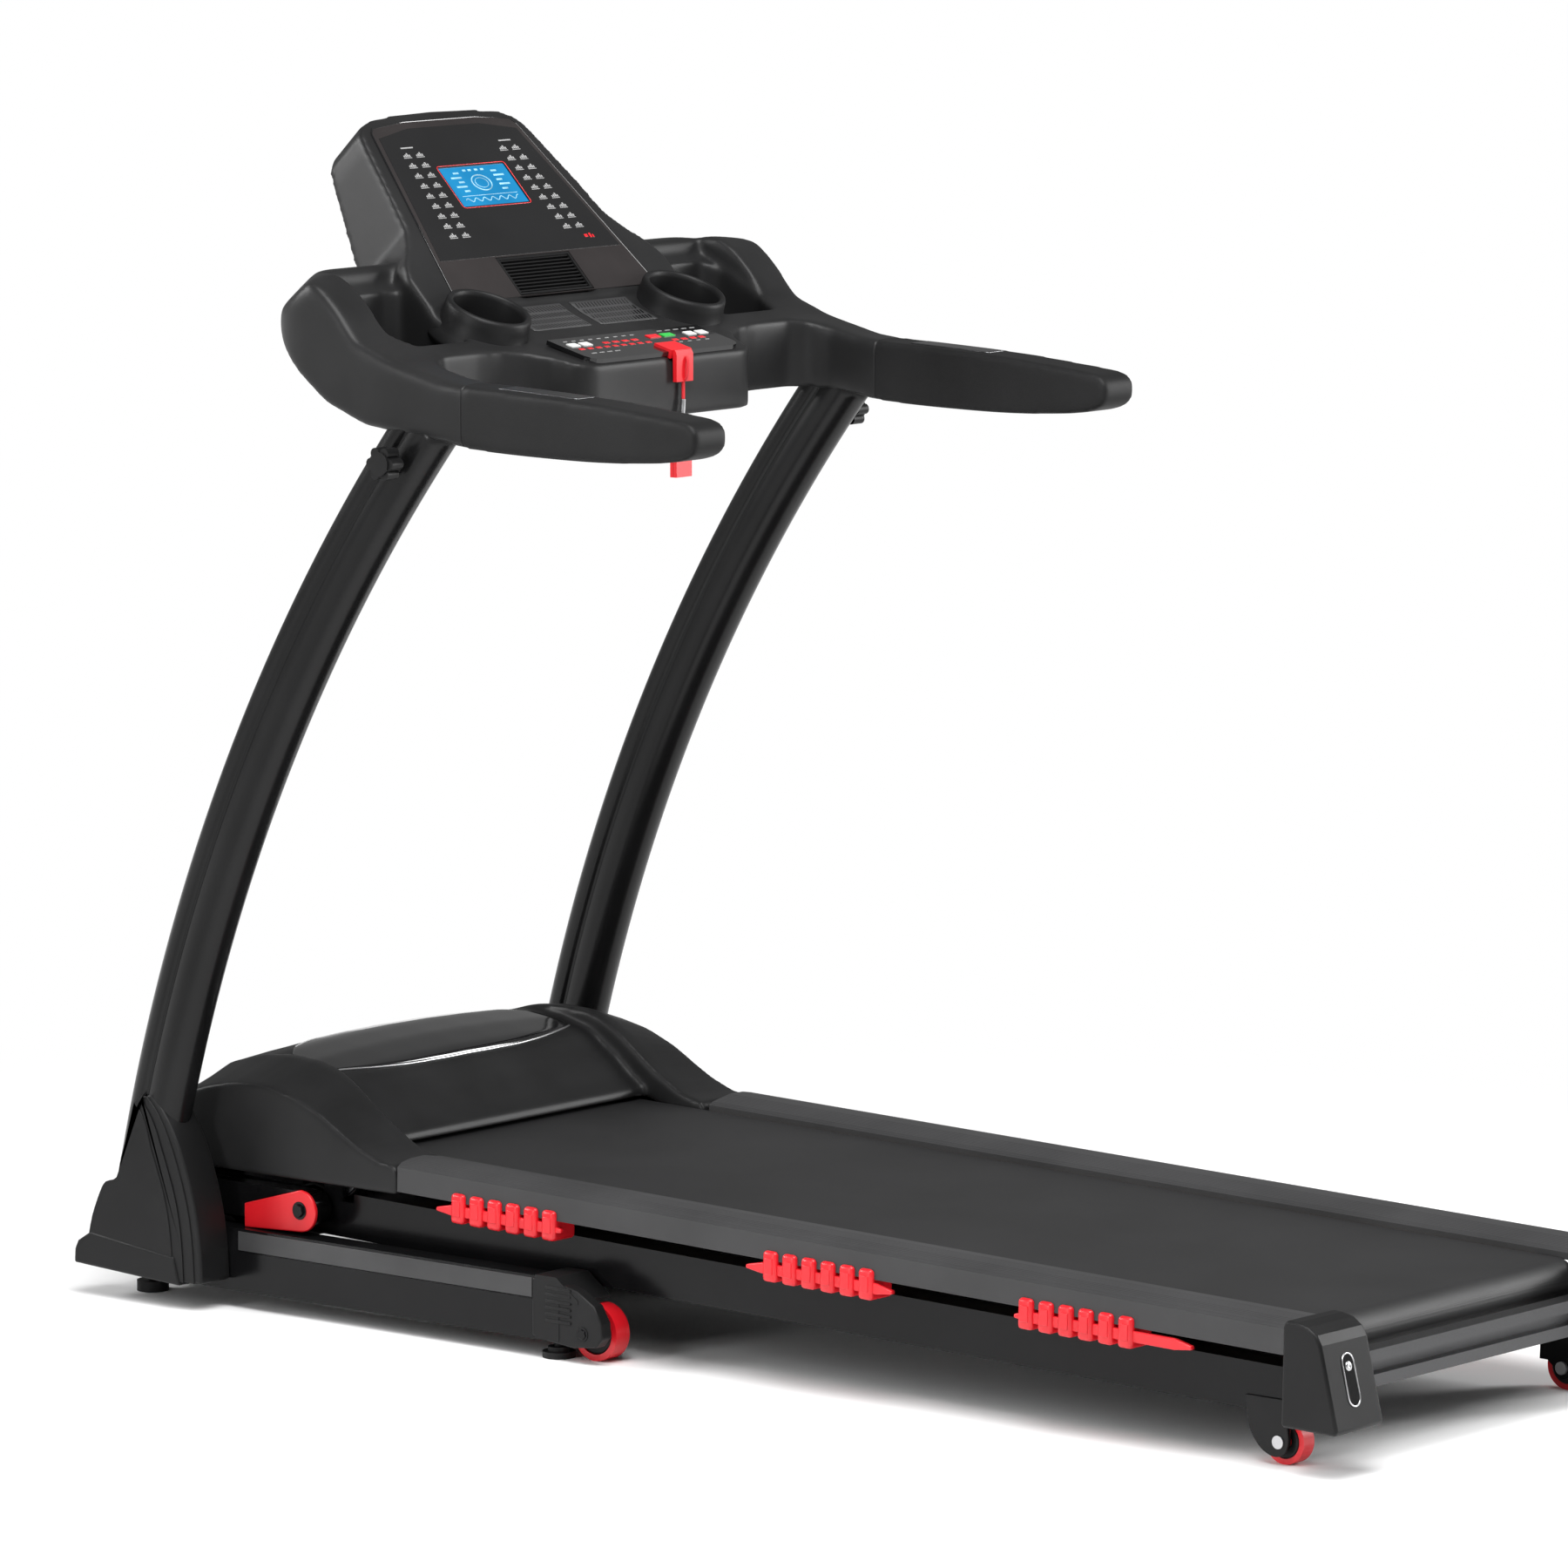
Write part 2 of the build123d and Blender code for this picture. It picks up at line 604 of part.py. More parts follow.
def roller_core(v, length):
    """Crowned-ended roller tube with a fixed-diameter bore for its axle."""
    core = rod_x(-length / 2, length / 2, v, ROLLER_W, ROLLER_R - 0.1)
    return core - rod_x(-length, length, v, ROLLER_W, AXLE_R + FIT)


def make_front_roller():
    """Drive roller with its ribbed pulley at the left end."""
    roller = roller_core(ROLLER_FRONT_V, 446)
    drive = rod_x(-258, -222, ROLLER_FRONT_V, ROLLER_W, 13)
    drive += rod_x(DRIVE_X - 10, DRIVE_X + 10, ROLLER_FRONT_V, ROLLER_W, PULLEY_R)
    drive -= rod_x(-260, -220, ROLLER_FRONT_V, ROLLER_W, AXLE_R + FIT)
    return deck_place(roller + drive)


def make_rear_roller():
    """Idler roller at the deck's tail."""
    return deck_place(roller_core(ROLLER_REAR_V, 444))


def rail_outline():
    """Cross-section (x, w) of a foot rail."""
    return [(RAIL_IN_X, -BELT_T), (RAIL_IN_X, 5), (232, 8.5), (262, RAIL_TOP), (284, 13), (298, 10.5),
            (RAIL_OUT_X, 6), (RAIL_OUT_X, RAIL_LOW), (301.5, RAIL_LOW), (301.5, 4), (296, 7.5), (283, 10),
            (262, 10.4), (236, 6), (228.5, 3), (228.5, -BELT_T)]


def side_rail(side):
    """Long foot rail beside the belt."""
    return deck_place(long_prism(mirrored(rail_outline(), side), RAIL_REAR, RAIL_FRONT))


def cushion_block(side, v):
    """One rubber block that stands between rail and frame, with its outer lip."""
    block = box(side * 240, side * 308.5, v - 9.5, v + 9.5, FRAME_TOP, RAIL_LOW)
    block += box(side * 305, side * 308.5, v - 9.5, v + 9.5, RAIL_LOW - 1, -12)
    return block


def make_cushions():
    """Six rows of six elastomer blocks on slim carrier strips, three rows a side."""
    pieces = []
    for side in SIDES.values():
        for middle in CUSHION_MIDDLES:
            row = box(side * 299, side * 306, middle - 98, middle + 98, -36, -28)
            for i in range(BLOCKS_PER_ROW):
                row += cushion_block(side, middle + (i - (BLOCKS_PER_ROW - 1) / 2) * CUSHION_PITCH)
            pieces.append(row)
    return deck_place(Compound(children=pieces))


def end_cap(side):
    """Moulded cap that closes the rail and frame at one rear corner."""
    outline = [(-852, -96), (-852, -4), (-838, 8), (-700, 8), (-700, -22), (-782, -30), (-782, -96)]
    cap = side_prism(outline, side * 226, side * 308)
    cap += side_prism([(-838, 4), (-838, 14.5), (-784, 17), (-784, 4)], side * 226, side * 308)
    inside = [(-845, -92), (-845, -6), (-836, 3), (-690, 3), (-690, -30), (-770, -36), (-770, -92)]
    cap -= side_prism(inside, side * 230, side * 303)
    rail_room = box(side * 224, side * 305.4, RAIL_REAR - 0.4, -690, -30, 14.2)
    cap -= rail_room
    cap -= box(side * 224, side * (FRAME_OUT_X + 0.4), FRAME_REAR - 0.4, -690, -94, ROLLER_W + 15)
    return deck_place(cap)


def make_rear_crossbar():
    """Channelled bar between the two rear corner caps."""
    bar = box(-225.6, 225.6, -814, -794, -67, -28)
    bar -= box(-226, 226, -820, -802, -54, -41)
    return deck_place(bar)


def rear_fork(side):
    """Bent steel fork welded under the frame, in the deck's own frame, for a rear wheel."""
    x = side * REAR_WHEEL_X
    v, w = deck_coords(REAR_WHEEL_Y, REAR_WHEEL_R)
    top = FRAME_TOP - FRAME_H
    fork = box(x - 17, x + 17, v - 14, v + 30, top - 3, top + 0.5)
    for s in (-1, 1):
        x0 = x + s * 14
        x1 = x + s * 17
        fork += box(x0, x1, v - 12, v + 30, w + 6, top - 1)
        fork += rod_x(x0, x1, v, w, 12)
        fork += side_prism([(v - 12, w), (v + 12, w), (v + 30, w + 14), (v - 12, w + 14)], x0, x1)
    return fork - rod_x(x - 20, x + 20, v, w, 4)


def make_rear_wheel(side):
    """Small floor wheel under the tail of the deck."""
    x = side * REAR_WHEEL_X
    wheel = rod_x(x - 9, x + 9, REAR_WHEEL_Y, REAR_WHEEL_R, REAR_WHEEL_R)
    for s in (-1, 1):
        wheel -= ring_x(x + s * 6, x + s * 10, REAR_WHEEL_Y, REAR_WHEEL_R, 19, 9)
    return wheel - rod_x(x - 12, x + 12, REAR_WHEEL_Y, REAR_WHEEL_R, 4 + FIT)


# ---------------------------------------------------------------- motor bay
def hood_form(inset):
    """Solid form of the motor hood, or of its inside when inset is positive."""
    d = inset
    low = 150 - 5 * bool(inset)
    shoulder = [(433 + d, low), (433 + d, 185 - d), (470, 188 - d), (510, 201 - d), (556, 221 - d),
                (596, 240 - d), (645, 251 - d), (712, 252 - d), (760, 236 - d), (784 - d, 205),
                (790 - d, 160), (790 - d, low)]
    rear_low = 184 - 6 * bool(inset)
    floor_y = 530 if inset else 700
    centre = [(516 + d, 190), (645, 262 - d), (655, 268 - d), (700, 277 - d), (745, 262 - d), (778 - d, 225),
              (790 - d, 170), (790 - d, low), (floor_y, low), (516 + d, rear_low)]
    form = side_prism(centre, -228, 228)
    for side in SIDES.values():
        form += side_prism(shoulder, side * (224 + d * 0.5), side * (RAIL_OUT_X - d))
    crown = Pos(0, 610, 277 - d - 1740) * Rot(90, 0, 0) * Cylinder(1740, 400)
    return form & crown


def make_hood():
    """Thin-walled motor cover between the uprights."""
    hood = hood_form(0) - hood_form(3)
    hood += box(-274, 274, 784, 788, 122, 152)
    hood -= box(-262.3, -213.7, 780, 795, 125.7, 150.3)
    return hood - make_hood_insert()


def make_hood_insert():
    """Raised gloss panel on top of the hood."""
    outline = [(-205, 655), (205, 655), (190, 735), (-190, 735)]
    slab = plan_prism(outline, 240, 300)
    outer = Pos(0, 695, 281.5 - 1740) * Rot(90, 0, 0) * Cylinder(1740, 200)
    inner = Pos(0, 695, 277.6 - 1740) * Rot(90, 0, 0) * Cylinder(1740, 200)
    return slab & (outer - inner)


def make_belly_pan():
    """Tray under the motor bay, open where the lift screw passes."""
    pan = box(-226, 226, 640, 738, 97, 100)
    pan -= box(LIFT_X - 34, LIFT_X + 34, 640 - 1, 700, 90, 110)
    return pan


def make_drive_motor():
    """Direct-current motor can on a saddle across the bay."""
    v, w = MOTOR_V, MOTOR_W
    motor = rod_x(-196, -10, v, w, 42)
    motor += rod_x(-10, 2, v, w, 30)
    saddle = box(-150, -50, v - 20, v + 52, w - 48, w - 38)
    saddle += box(-150, -50, v + 52, v + 64, -58, w - 38)
    motor += saddle
    return deck_place(motor - rod_x(-200, -150, v, w, 6 + FIT))


def make_flywheel():
    """Motor shaft with its flywheel and small ribbed pulley."""
    v, w = MOTOR_V, MOTOR_W
    shaft = rod_x(-258, -152, v, w, 6)
    wheel = rod_x(-222, -204, v, w, 52)
    pulley = rod_x(DRIVE_X - 10, DRIVE_X + 10, v, w, MOTOR_PULLEY_R)
    return deck_place(shaft + wheel + pulley)


def make_drive_belt():
    """Ribbed belt from the motor pulley to the front roller's pulley."""
    span = hypot(MOTOR_V - ROLLER_FRONT_V, MOTOR_W - ROLLER_W)
    lean = degrees(atan2(MOTOR_W - ROLLER_W, MOTOR_V - ROLLER_FRONT_V))
    loops = []
    for grow in (2.6, 0.3):
        big = PULLEY_R + grow
        small = MOTOR_PULLEY_R + grow
        side = asin((big - small) / span)
        pts = [(big * sin(side), big * cos(side)), (span + small * sin(side), small * cos(side)),
               (span + small * sin(side), -small * cos(side)), (big * sin(side), -big * cos(side))]
        wire = Polyline(*[(0, a, b) for a, b in pts], close=True)
        band = extrude(make_face(wire), amount=16, dir=(1, 0, 0))
        band += rod_x(0, 16, 0, 0, big) + rod_x(0, 16, span, 0, small)
        loops.append(band)
    belt = loops[0] - loops[1]
    return deck_place(Pos(DRIVE_X - 8, ROLLER_FRONT_V, ROLLER_W) * Rot(lean, 0, 0) * belt)


def make_power_inlet():
    """Appliance inlet and fuse body at the front of the bay."""
    inlet = box(-262, -214, 776, 789.5, 126, 150)
    inlet -= box(-256, -232, 782, 795, 130, 146)
    return inlet - box(-228.5, -217.5, 780, 795, 129, 147)


def make_power_switch():
    """Rocker of the mains switch beside the inlet."""
    rocker = side_prism([(784, 131), (791.2, 130.8), (789, 138), (790.4, 145.2), (784, 145)], -227.5, -218.5)
    return rocker + rod_x(-227.5, -218.5, 786, 138, 3)


def make_lift_motor():
    """Incline actuator: gearbox and motor hung on its trunnion."""
    y, z = LIFT_Y, LIFT_Z
    body = box(LIFT_X - 28, LIFT_X + 28, y - 18, y + 22, z - 40, z + 16)
    body += rod_z(LIFT_X + 10, y + 50, z - 34, z + 22, 25)
    body += box(LIFT_X - 20, LIFT_X + 28, y + 20, y + 46, z - 40, z - 26)
    body -= rod_x(LIFT_X - 40, LIFT_X + 40, y, z, 5 + FIT)
    lean = degrees(atan2(LUG_Y - LIFT_Y, LIFT_Z - LUG_Z))
    screw_bore = Pos(LIFT_X, LIFT_Y, LIFT_Z) * Rot(lean, 0, 0) * Pos(0, 0, -32) * Cylinder(8, 46)
    return body - screw_bore


def make_lift_screw():
    """Screw tube that runs out of the gearbox down to the incline crossbar."""
    lean = degrees(atan2(LUG_Y - LIFT_Y, LIFT_Z - LUG_Z))
    reach = hypot(LUG_Y - LIFT_Y, LIFT_Z - LUG_Z)
    tube = Pos(0, 0, -(reach + 10) / 2 + 2) * Cylinder(7.9, reach - 14)
    eye = Pos(0, 0, -reach) * Rot(0, 90, 0) * Cylinder(10, 18)
    eye -= Pos(0, 0, -reach) * Rot(0, 90, 0) * Cylinder(5.5, 20)
    tube -= Pos(0, 0, -reach) * Rot(0, 90, 0) * Cylinder(9, 20)
    return Pos(LIFT_X, LIFT_Y, LIFT_Z) * Rot(lean, 0, 0) * (tube + eye)


# ---------------------------------------------------------------- console
def console_plan(d):
    """Plan outline (x, y) of the console tub, inset by d."""
    out = CONSOLE_OUT_X - d
    inn = CONSOLE_IN_X + d
    front = CONSOLE_FRONT_Y - d
    r = CONSOLE_CORNER_R - d
    pts = [(0, FASCIA_Y + d), (FASCIA_HALF - d, FASCIA_Y + d), (FASCIA_HALF - d + 18, 345 + d),
           (210, 368 + d), (inn - 30, 368 + d), (inn, 340 + d), (inn, GRIP_SEAM_Y), (out, GRIP_SEAM_Y)]
    for i in range(7):
        a = radians(90 * i / 6)
        pts.append((out - r + r * cos(a), front - r + r * sin(a)))
    left = [(-x, y) for x, y in reversed(pts[1:])]
    return pts + left


def tub_profile(d):
    """Side outline (y, z) of the arms and tub."""
    return [(GRIP_SEAM_Y - 1, 989 + d), (412, 1003 + d), (470, 1025 + d), (530, 1072 + d), (578, 1110 + d),
            (578, 1150 - d), (545, 1159 - d), (494, 1161 - d), (470, 1148 - d), (447, 1126 - d),
            (424, 1094 - d), (373, 1076 - d), (GRIP_SEAM_Y - 1, 1055 - d)]


def deck_cut():
    """Space above the tray deck between the two arms."""
    pts = [(280, 1062), (293, 1059), (370, 1078), (430, 1096), (470, 1118), (520, 1142), (520, 1200),
           (280, 1200)]
    return side_prism(pts, -CONSOLE_IN_X + 6, CONSOLE_IN_X - 6)


def housing_form(d):
    """Wedge-shaped display housing, inset by d."""
    pts = [(459, 1064 + d), panel_point(-57, -d), panel_point(207, -d), (660 - d, 1300 - d),
           (654 - d, 1268), (600 - d, 1150), (574 - d, 1100 + d)]
    form = side_prism(pts, -PANEL_HALF + d, PANEL_HALF - d)
    for side in SIDES.values():
        edge = PANEL_HALF - d
        top = mirrored([(edge, 0), (300, 0), (300, 260), (edge - HOUSING_TAPER * 260, 260)], side)
        wire = Polyline(*[(x, s, -120) for x, s in top], close=True)
        wedge = extrude(make_face(wire), amount=260, dir=(0, 0, 1))
        form -= panel_place(wedge)
    return form


def tray_pocket(side, grow):
    """Deep open tray outboard of a cup holder, grown outwards for the wall round it."""
    middle = (262, 454)
    outline = [(x + grow * (1 if x > middle[0] else -1), y + grow * (1 if y > middle[1] else -1))
               for x, y in TRAY_OUTLINE]
    return plan_prism(mirrored(outline, side), TRAY_FLOOR - grow, 1190)


def console_shell_cutter():
    """Openings of the console tub for trays, cups, vent, keypad, uprights and display."""
    cutters = []
    for side in SIDES.values():
        cutters.append(tray_pocket(side, 0))
        cutters.append(cup_place(side, Pos(0, 0, -20) * Cylinder(CUP_R + 6.4, 130)))
        cutters.append(upright_solid(side, -0.4))
    cutters.append(panel_place(box(-VENT_HALF - 0.4, VENT_HALF + 0.4, -56, -2, -14, 14)))
    cutters.append(panel_place(box(-LCD_HALF - 1, LCD_HALF + 1, LCD_LOW - 1, LCD_HIGH + 1, -14, 4)))
    cutters.append(keypad_place(box(-128.4, 128.4, -36.4, 36.4, -5.4, 20)))
    cutters.append(keypad_place(box(SAFETY_X - 17.4, SAFETY_X + 17.4, -38, -11, -8, 20)))
    for i in range(30):
        slot = Pos(i * 6 - 87, -68, 0) * Rot(0, 0, 45) * Box(2.4, 12, 12)
        cutters.append(panel_place(slot))
    return cutters


def cup_place(side, shape):
    """Move a piece from a cup's own frame to its tilted place."""
    return Pos(side * CUP_X, CUP_Y, CUP_Z) * Rot(CUP_TILT, 0, 0) * shape


def make_console_tub():
    """Front shell of the console: arms, tray deck and display bezel in one moulding."""
    outer = (plan_prism(console_plan(0), 980, 1170) & side_prism(tub_profile(0), -380, 380)) - deck_cut()
    outer += housing_form(0)
    inner = plan_prism(console_plan(CONSOLE_WALL), 980, 1170)
    inner &= side_prism(tub_profile(CONSOLE_WALL), -380, 380)
    inner -= Pos(0, 0, -CONSOLE_WALL) * deck_cut()
    inner += housing_form(CONSOLE_WALL)
    for side in SIDES.values():
        inner -= tray_pocket(side, CONSOLE_WALL)
    tub = outer - inner
    for cutter in console_shell_cutter():
        tub -= cutter
    return tub - back_half(0)


def back_half(gap):
    """Space behind the console's seam, taken by the back shell."""
    pts = [(545 + gap, 1040), (545 + gap, 1150), panel_point(60, -24 - gap), panel_point(240, -14 - gap),
           (740, 1330), (740, 1040)]
    return side_prism(pts, -PANEL_HALF - 3, PANEL_HALF + 3)


def make_console_back():
    """Back shell that bulges behind the display."""
    shells = []
    for d in (0, CONSOLE_WALL):
        profile = side_prism(tub_profile(d), -PANEL_HALF - 3, PANEL_HALF + 3)
        shells.append(housing_form(d) + (plan_prism(console_plan(d), 980, 1170) & profile))
    return (shells[0] - shells[1]) & back_half(GAP)


def make_overlay():
    """Gloss display overlay with a window for the screen."""
    pts = [(-151, 0), (151, 0), (115, 177), (60, 188), (-60, 188), (-115, 177)]
    wire = Polyline(*[(x, s, 0) for x, s in pts], close=True)
    sheet = extrude(make_face(wire), amount=1.2, dir=(0, 0, 1))
    return panel_place(sheet - box(-LCD_HALF, LCD_HALF, LCD_LOW, LCD_HIGH, -1, 3))


def make_lcd():
    """Liquid crystal module behind the overlay's window."""
    glass = box(-LCD_HALF + 0.3, LCD_HALF - 0.3, LCD_LOW + 0.3, LCD_HIGH - 0.3, -9, 0.4)
    return panel_place(glass)


def make_vent_grille():
    """Louvred outlet of the cooling fan, with the spider and post that carry its rotor."""
    frame = box(-VENT_HALF, VENT_HALF, -55.6, -2.4, -7, 0.6)
    frame -= box(-VENT_HALF + 3, VENT_HALF - 3, -52.6, -5.4, -8, 1)
    for i in range(10):
        s = -50.5 + i * 4.8
        frame += box(-VENT_HALF + 2, VENT_HALF - 2, s, s + 1.8, -6, -0.6)
    frame += box(-4, 4, -55, -3, -34, -31)
    for s in (-55, -6):
        frame += box(-4, 4, s, s + 3, -34, -5)
    frame += Pos(0, -29, -22) * Cylinder(2, 20)
    return panel_place(frame)


def make_fan_rotor():
    """Small axial fan behind the grille."""
    hub = Pos(0, -29, -22) * Cylinder(9, 12)
    for i in range(7):
        hub += Pos(0, -29, -22) * Rot(0, 0, i * 360 / 7) * Pos(13.5, 0, 0) * Rot(35, 0, 0) * Box(17, 8, 1.6)
    return panel_place(hub - Pos(0, -29, -22) * Cylinder(2 + FIT, 20))


def cup_holder(side):
    """Round cup with a raised slanted collar."""
    cup = Pos(0, 0, -CUP_DEPTH / 2 + 8) * Cylinder(CUP_R, CUP_DEPTH)
    collar = Pos(0, 0, -6) * Cone(CUP_R + 6, CUP_R, 28)
    cup = cup + collar
    cup -= Pos(0, 0, -CUP_DEPTH / 2 + 12) * Cylinder(CUP_R - 3, CUP_DEPTH)
    return cup_place(side, cup)


def make_keypad():
    """Gloss control panel that carries the keys."""
    panel = box(-128, 128, -36, 36, -5, 2)
    for x, s, w, h in KEYS.values():
        panel -= box(x - w / 2 - GAP, x + w / 2 + GAP, s - h / 2 - GAP, s + h / 2 + GAP, -3.2, 3)
    panel -= box(SAFETY_X - 17.3, SAFETY_X + 17.3, -37, -11.7, -6, 3)
    return keypad_place(panel)


def make_key(name):
    """One tactile key standing a little proud of the keypad."""
    x, s, w, h = KEYS[name]
    return keypad_place(box(x - w / 2, x + w / 2, s - h / 2, s + h / 2, -1.6, 3))


def make_safety_key():
    """Red pull-out stop key that folds over the console's edge."""
    tab = box(SAFETY_X - 17, SAFETY_X + 17, -37.6, -12, -4.8, 5)
    lip = side_prism([(LIP_Y, 1031), (294.2, 1031), (294.6, 1066), (291.5, 1066), (LIP_Y, 1061)],
                     SAFETY_X - 14, SAFETY_X + 14)
    return keypad_place(tab) + lip


def make_safety_cord():
    """Thin lanyard that hangs from the safety key."""
    radii = []
    for a, b, c in zip(CORD_POINTS, CORD_POINTS[1:], CORD_POINTS[2:]):
        run_in = Vector(*b) - Vector(*a)
        run_out = Vector(*c) - Vector(*b)
        turn = radians(run_in.get_angle(run_out))
        radii.append(0.45 * min(run_in.length, run_out.length) / tan(turn / 2))
    print("cord radii", [round(r, 1) for r in radii])
    path = FilletPolyline(*CORD_POINTS, radius=radii)
    start = Plane(origin=path @ 0, z_dir=path % 0)
    cord = sweep(start * Circle(CORD_R), path=path)
    print("cord length", round(path.length, 1))
    return cord


def make_clip_body():
    """Fixed half of the clothing clip on the lanyard."""
    x, y, z = CORD_POINTS[-1]
    return box(x - 13, x + 13, y - 5, y - 0.3, z - 44, z - 8) + box(x - 4, x + 4, y - 5, y + 3, z - 8, z)


def make_clip_jaw():
    """Sprung half of the clothing clip."""
    x, y, z = CORD_POINTS[-1]
    jaw = box(x - 13, x + 13, y + 0.3, y + 4.5, z - 44, z - 9)
    return jaw + rod_x(x - 15, x + 15, y + 2.4, z - 10.5, 2)


def grip(side):
    """Soft handlebar sleeve, tapering to a rounded end."""
    x = side * CONSOLE_ARM_X
    pts = [(GRIP_SEAM_Y - 1.4, 990), (100, 984), (-50, 992), (GRIP_END_Y, 1003), (GRIP_END_Y, 1030),
           (-55, 1041), (60, 1049), (GRIP_SEAM_Y - 1.4, 1054.5)]
    sleeve = side_prism(pts, x - ARM_HALF, x + ARM_HALF)
    return sleeve - pulse_plate(side)


def pulse_plate(side):
    """Stainless heart-rate strip let into the top of a grip."""
    x = side * CONSOLE_ARM_X
    return Pos(x, 170, 1051.4) * Rot(1.4, 0, 0) * Box(26, 120, 2.4)


def make_clamp_knob(side):
    """Lobed hand knob that clamps the console to the upright."""
    z = KNOB_Z
    y = arc_point(z) + KNOB_SHIFT
    x = side * (UPRIGHT_X + UPRIGHT_W / 2)
    stem = rod_x(x - side * 14, x + side * 14, y, z, 5)
    hub = rod_x(x + side * 8, x + side * 32, y, z, 13)
    for i in range(6):
        a = radians(60 * i)
        hub += rod_x(x + side * 12, x + side * 30, y + 13 * cos(a), z + 13 * sin(a), 6)
    return stem + hub


# ---------------------------------------------------------------- assembly
def build_base():
    """Root body: everything that stands still, and the wheels and feet under it."""
    export("base_frame", make_base_frame())
    export("base_pins", make_base_pins())
    export("upright_covers", both_sides(upright_cover))
    export("tube_end_caps", both_sides(tube_end_cap))
    export("front_feet", both_sides(front_foot))
    for name, side in SIDES.items():
        export(f"upright_{name}", make_upright(side))
        export(f"transport_wheel_{name}", make_transport_wheel(side))
        export(f"rear_foot_{name}", make_levelling_foot(side, FOOT_REAR_Y))


def build_console():
    """Console, grips, keys and safety key."""
    export("console_tub", make_console_tub())
    export("console_back", make_console_back())
    export("display_overlay", make_overlay())
    export("display_screen", make_lcd())
    export("vent_grille", make_vent_grille())
    export("fan_rotor", make_fan_rotor())
    export("keypad", make_keypad())
    for name in KEYS:
        export(name, make_key(name))
    export("safety_key", make_safety_key())
    export("safety_cord", make_safety_cord())
    export("clip_body", make_clip_body())
    export("clip_jaw", make_clip_jaw())
    export("cup_holders", both_sides(cup_holder))
    export("pulse_plates", both_sides(pulse_plate))
    export("grips", both_sides(grip))
    for name, side in SIDES.items():
        export(f"clamp_knob_{name}", make_clamp_knob(side))


def build_deck():
    """Folding and tilting deck with its drive."""
    export("fold_pivots", both_sides(fold_pivot))
    export("incline_frame", make_incline_frame())
    export("arm_covers", both_sides(arm_cover))
    export("deck_frame", make_deck_frame())
    export("deck_axles", make_deck_axles())
    export("deck_board", make_deck_board())
    export("running_belt", make_running_belt())
    export("front_roller", make_front_roller())
    export("rear_roller", make_rear_roller())
    export("rear_crossbar", make_rear_crossbar())
    export("rear_caps", both_sides(end_cap))
    export("side_rails", both_sides(side_rail))
    export("cushions", make_cushions())
    export("motor_hood", make_hood())
    export("hood_insert", make_hood_insert())
    export("belly_pan", make_belly_pan())
    export("drive_motor", make_drive_motor())
    export("flywheel", make_flywheel())
    export("drive_belt", make_drive_belt())
    export("power_inlet", make_power_inlet())
    export("power_switch", make_power_switch())
    export("lift_motor", make_lift_motor())
    export("lift_screw", make_lift_screw())
    export("strut_cylinder", make_strut_cylinder())
    export("strut_rod", make_strut_rod())
    for name, side in SIDES.items():
        export(f"rear_wheel_{name}", make_rear_wheel(side))


os.makedirs("parts", exist_ok=True)
build_base()
build_console()
build_deck()
print(len(PARTS), "nodes")
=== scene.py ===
import bpy
import bmesh
import json
from math import asin, cos, hypot, pi, radians, sin
from mathutils import Matrix, Vector


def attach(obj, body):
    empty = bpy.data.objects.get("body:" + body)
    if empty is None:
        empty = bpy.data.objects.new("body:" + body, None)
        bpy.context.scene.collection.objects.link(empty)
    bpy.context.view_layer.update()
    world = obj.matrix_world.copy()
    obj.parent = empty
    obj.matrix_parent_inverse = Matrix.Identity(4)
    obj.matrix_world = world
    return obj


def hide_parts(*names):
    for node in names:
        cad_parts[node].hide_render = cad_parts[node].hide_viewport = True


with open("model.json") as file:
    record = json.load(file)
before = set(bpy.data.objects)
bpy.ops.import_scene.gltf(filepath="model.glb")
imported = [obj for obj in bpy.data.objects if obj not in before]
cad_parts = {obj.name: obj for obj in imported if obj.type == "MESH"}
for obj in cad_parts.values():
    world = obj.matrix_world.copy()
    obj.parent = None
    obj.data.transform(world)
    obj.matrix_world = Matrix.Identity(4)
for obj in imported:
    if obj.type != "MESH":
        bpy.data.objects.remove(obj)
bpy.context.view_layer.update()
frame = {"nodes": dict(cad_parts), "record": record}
NODES = frame["nodes"]
SIDES = {"left": -1, "right": 1}

# -------- camera and stage
CAMERA_AT = (-8.027, -6.5285, 2.030)
CAMERA_AZIMUTH = radians(-50.31)
CAMERA_RISE = radians(7.81)
CAMERA_LENS = 220.8

# -------- sizes, in millimetres
MM = 0.001
PANEL_TILT = radians(46.1)
PANEL_Y = 499.0
PANEL_Z = 1162.0
KEYPAD_TILT = radians(14.6)
KEYPAD_Y = 331.5
KEYPAD_Z = 1071.0
CONSOLE_ARM_X = 350.0
CONSOLE_IN_X = 323.0
CONSOLE_OUT_X = 377.0
CONSOLE_FRONT_Y = 577.0
GRIP_HALF = 27.0
GRIP_SEAM_Y = 269.0
CUP_X = 165.0
CUP_Y = 417.0
CUP_Z = 1111.0
CUP_R = 43.0
CUP_TILT = radians(22.0)
CORNER_R = 84.0
DECK_SLOPE = radians(1.38)
CAP_LEAN = radians(-15.1)
BELT_Z0 = 165.2
ARC_Y = -1269.6
ARC_Z = -315.0
ARC_R = 2082.0
UPRIGHT_X = 350.0
UPRIGHT_Z0 = 34.0
UPRIGHT_Z1 = 1018.0
HOOD_SIDE = 305.0
HOOD_WALL = 12.0
INLAY_HALF = 204.0
ARM_PIN = (305.0, 576.5, 116.0)
COVER_IN_X = 327.2
COVER_OUT_X = 380.0
Y_FRONT = 851.6
CUSHION_MIDDLES = (274.5, -168.5, -514.0)
CUSHION_PITCH = 26.2
CUSHION_TAILS = ((98, 82), (100, 100), (82, 150))
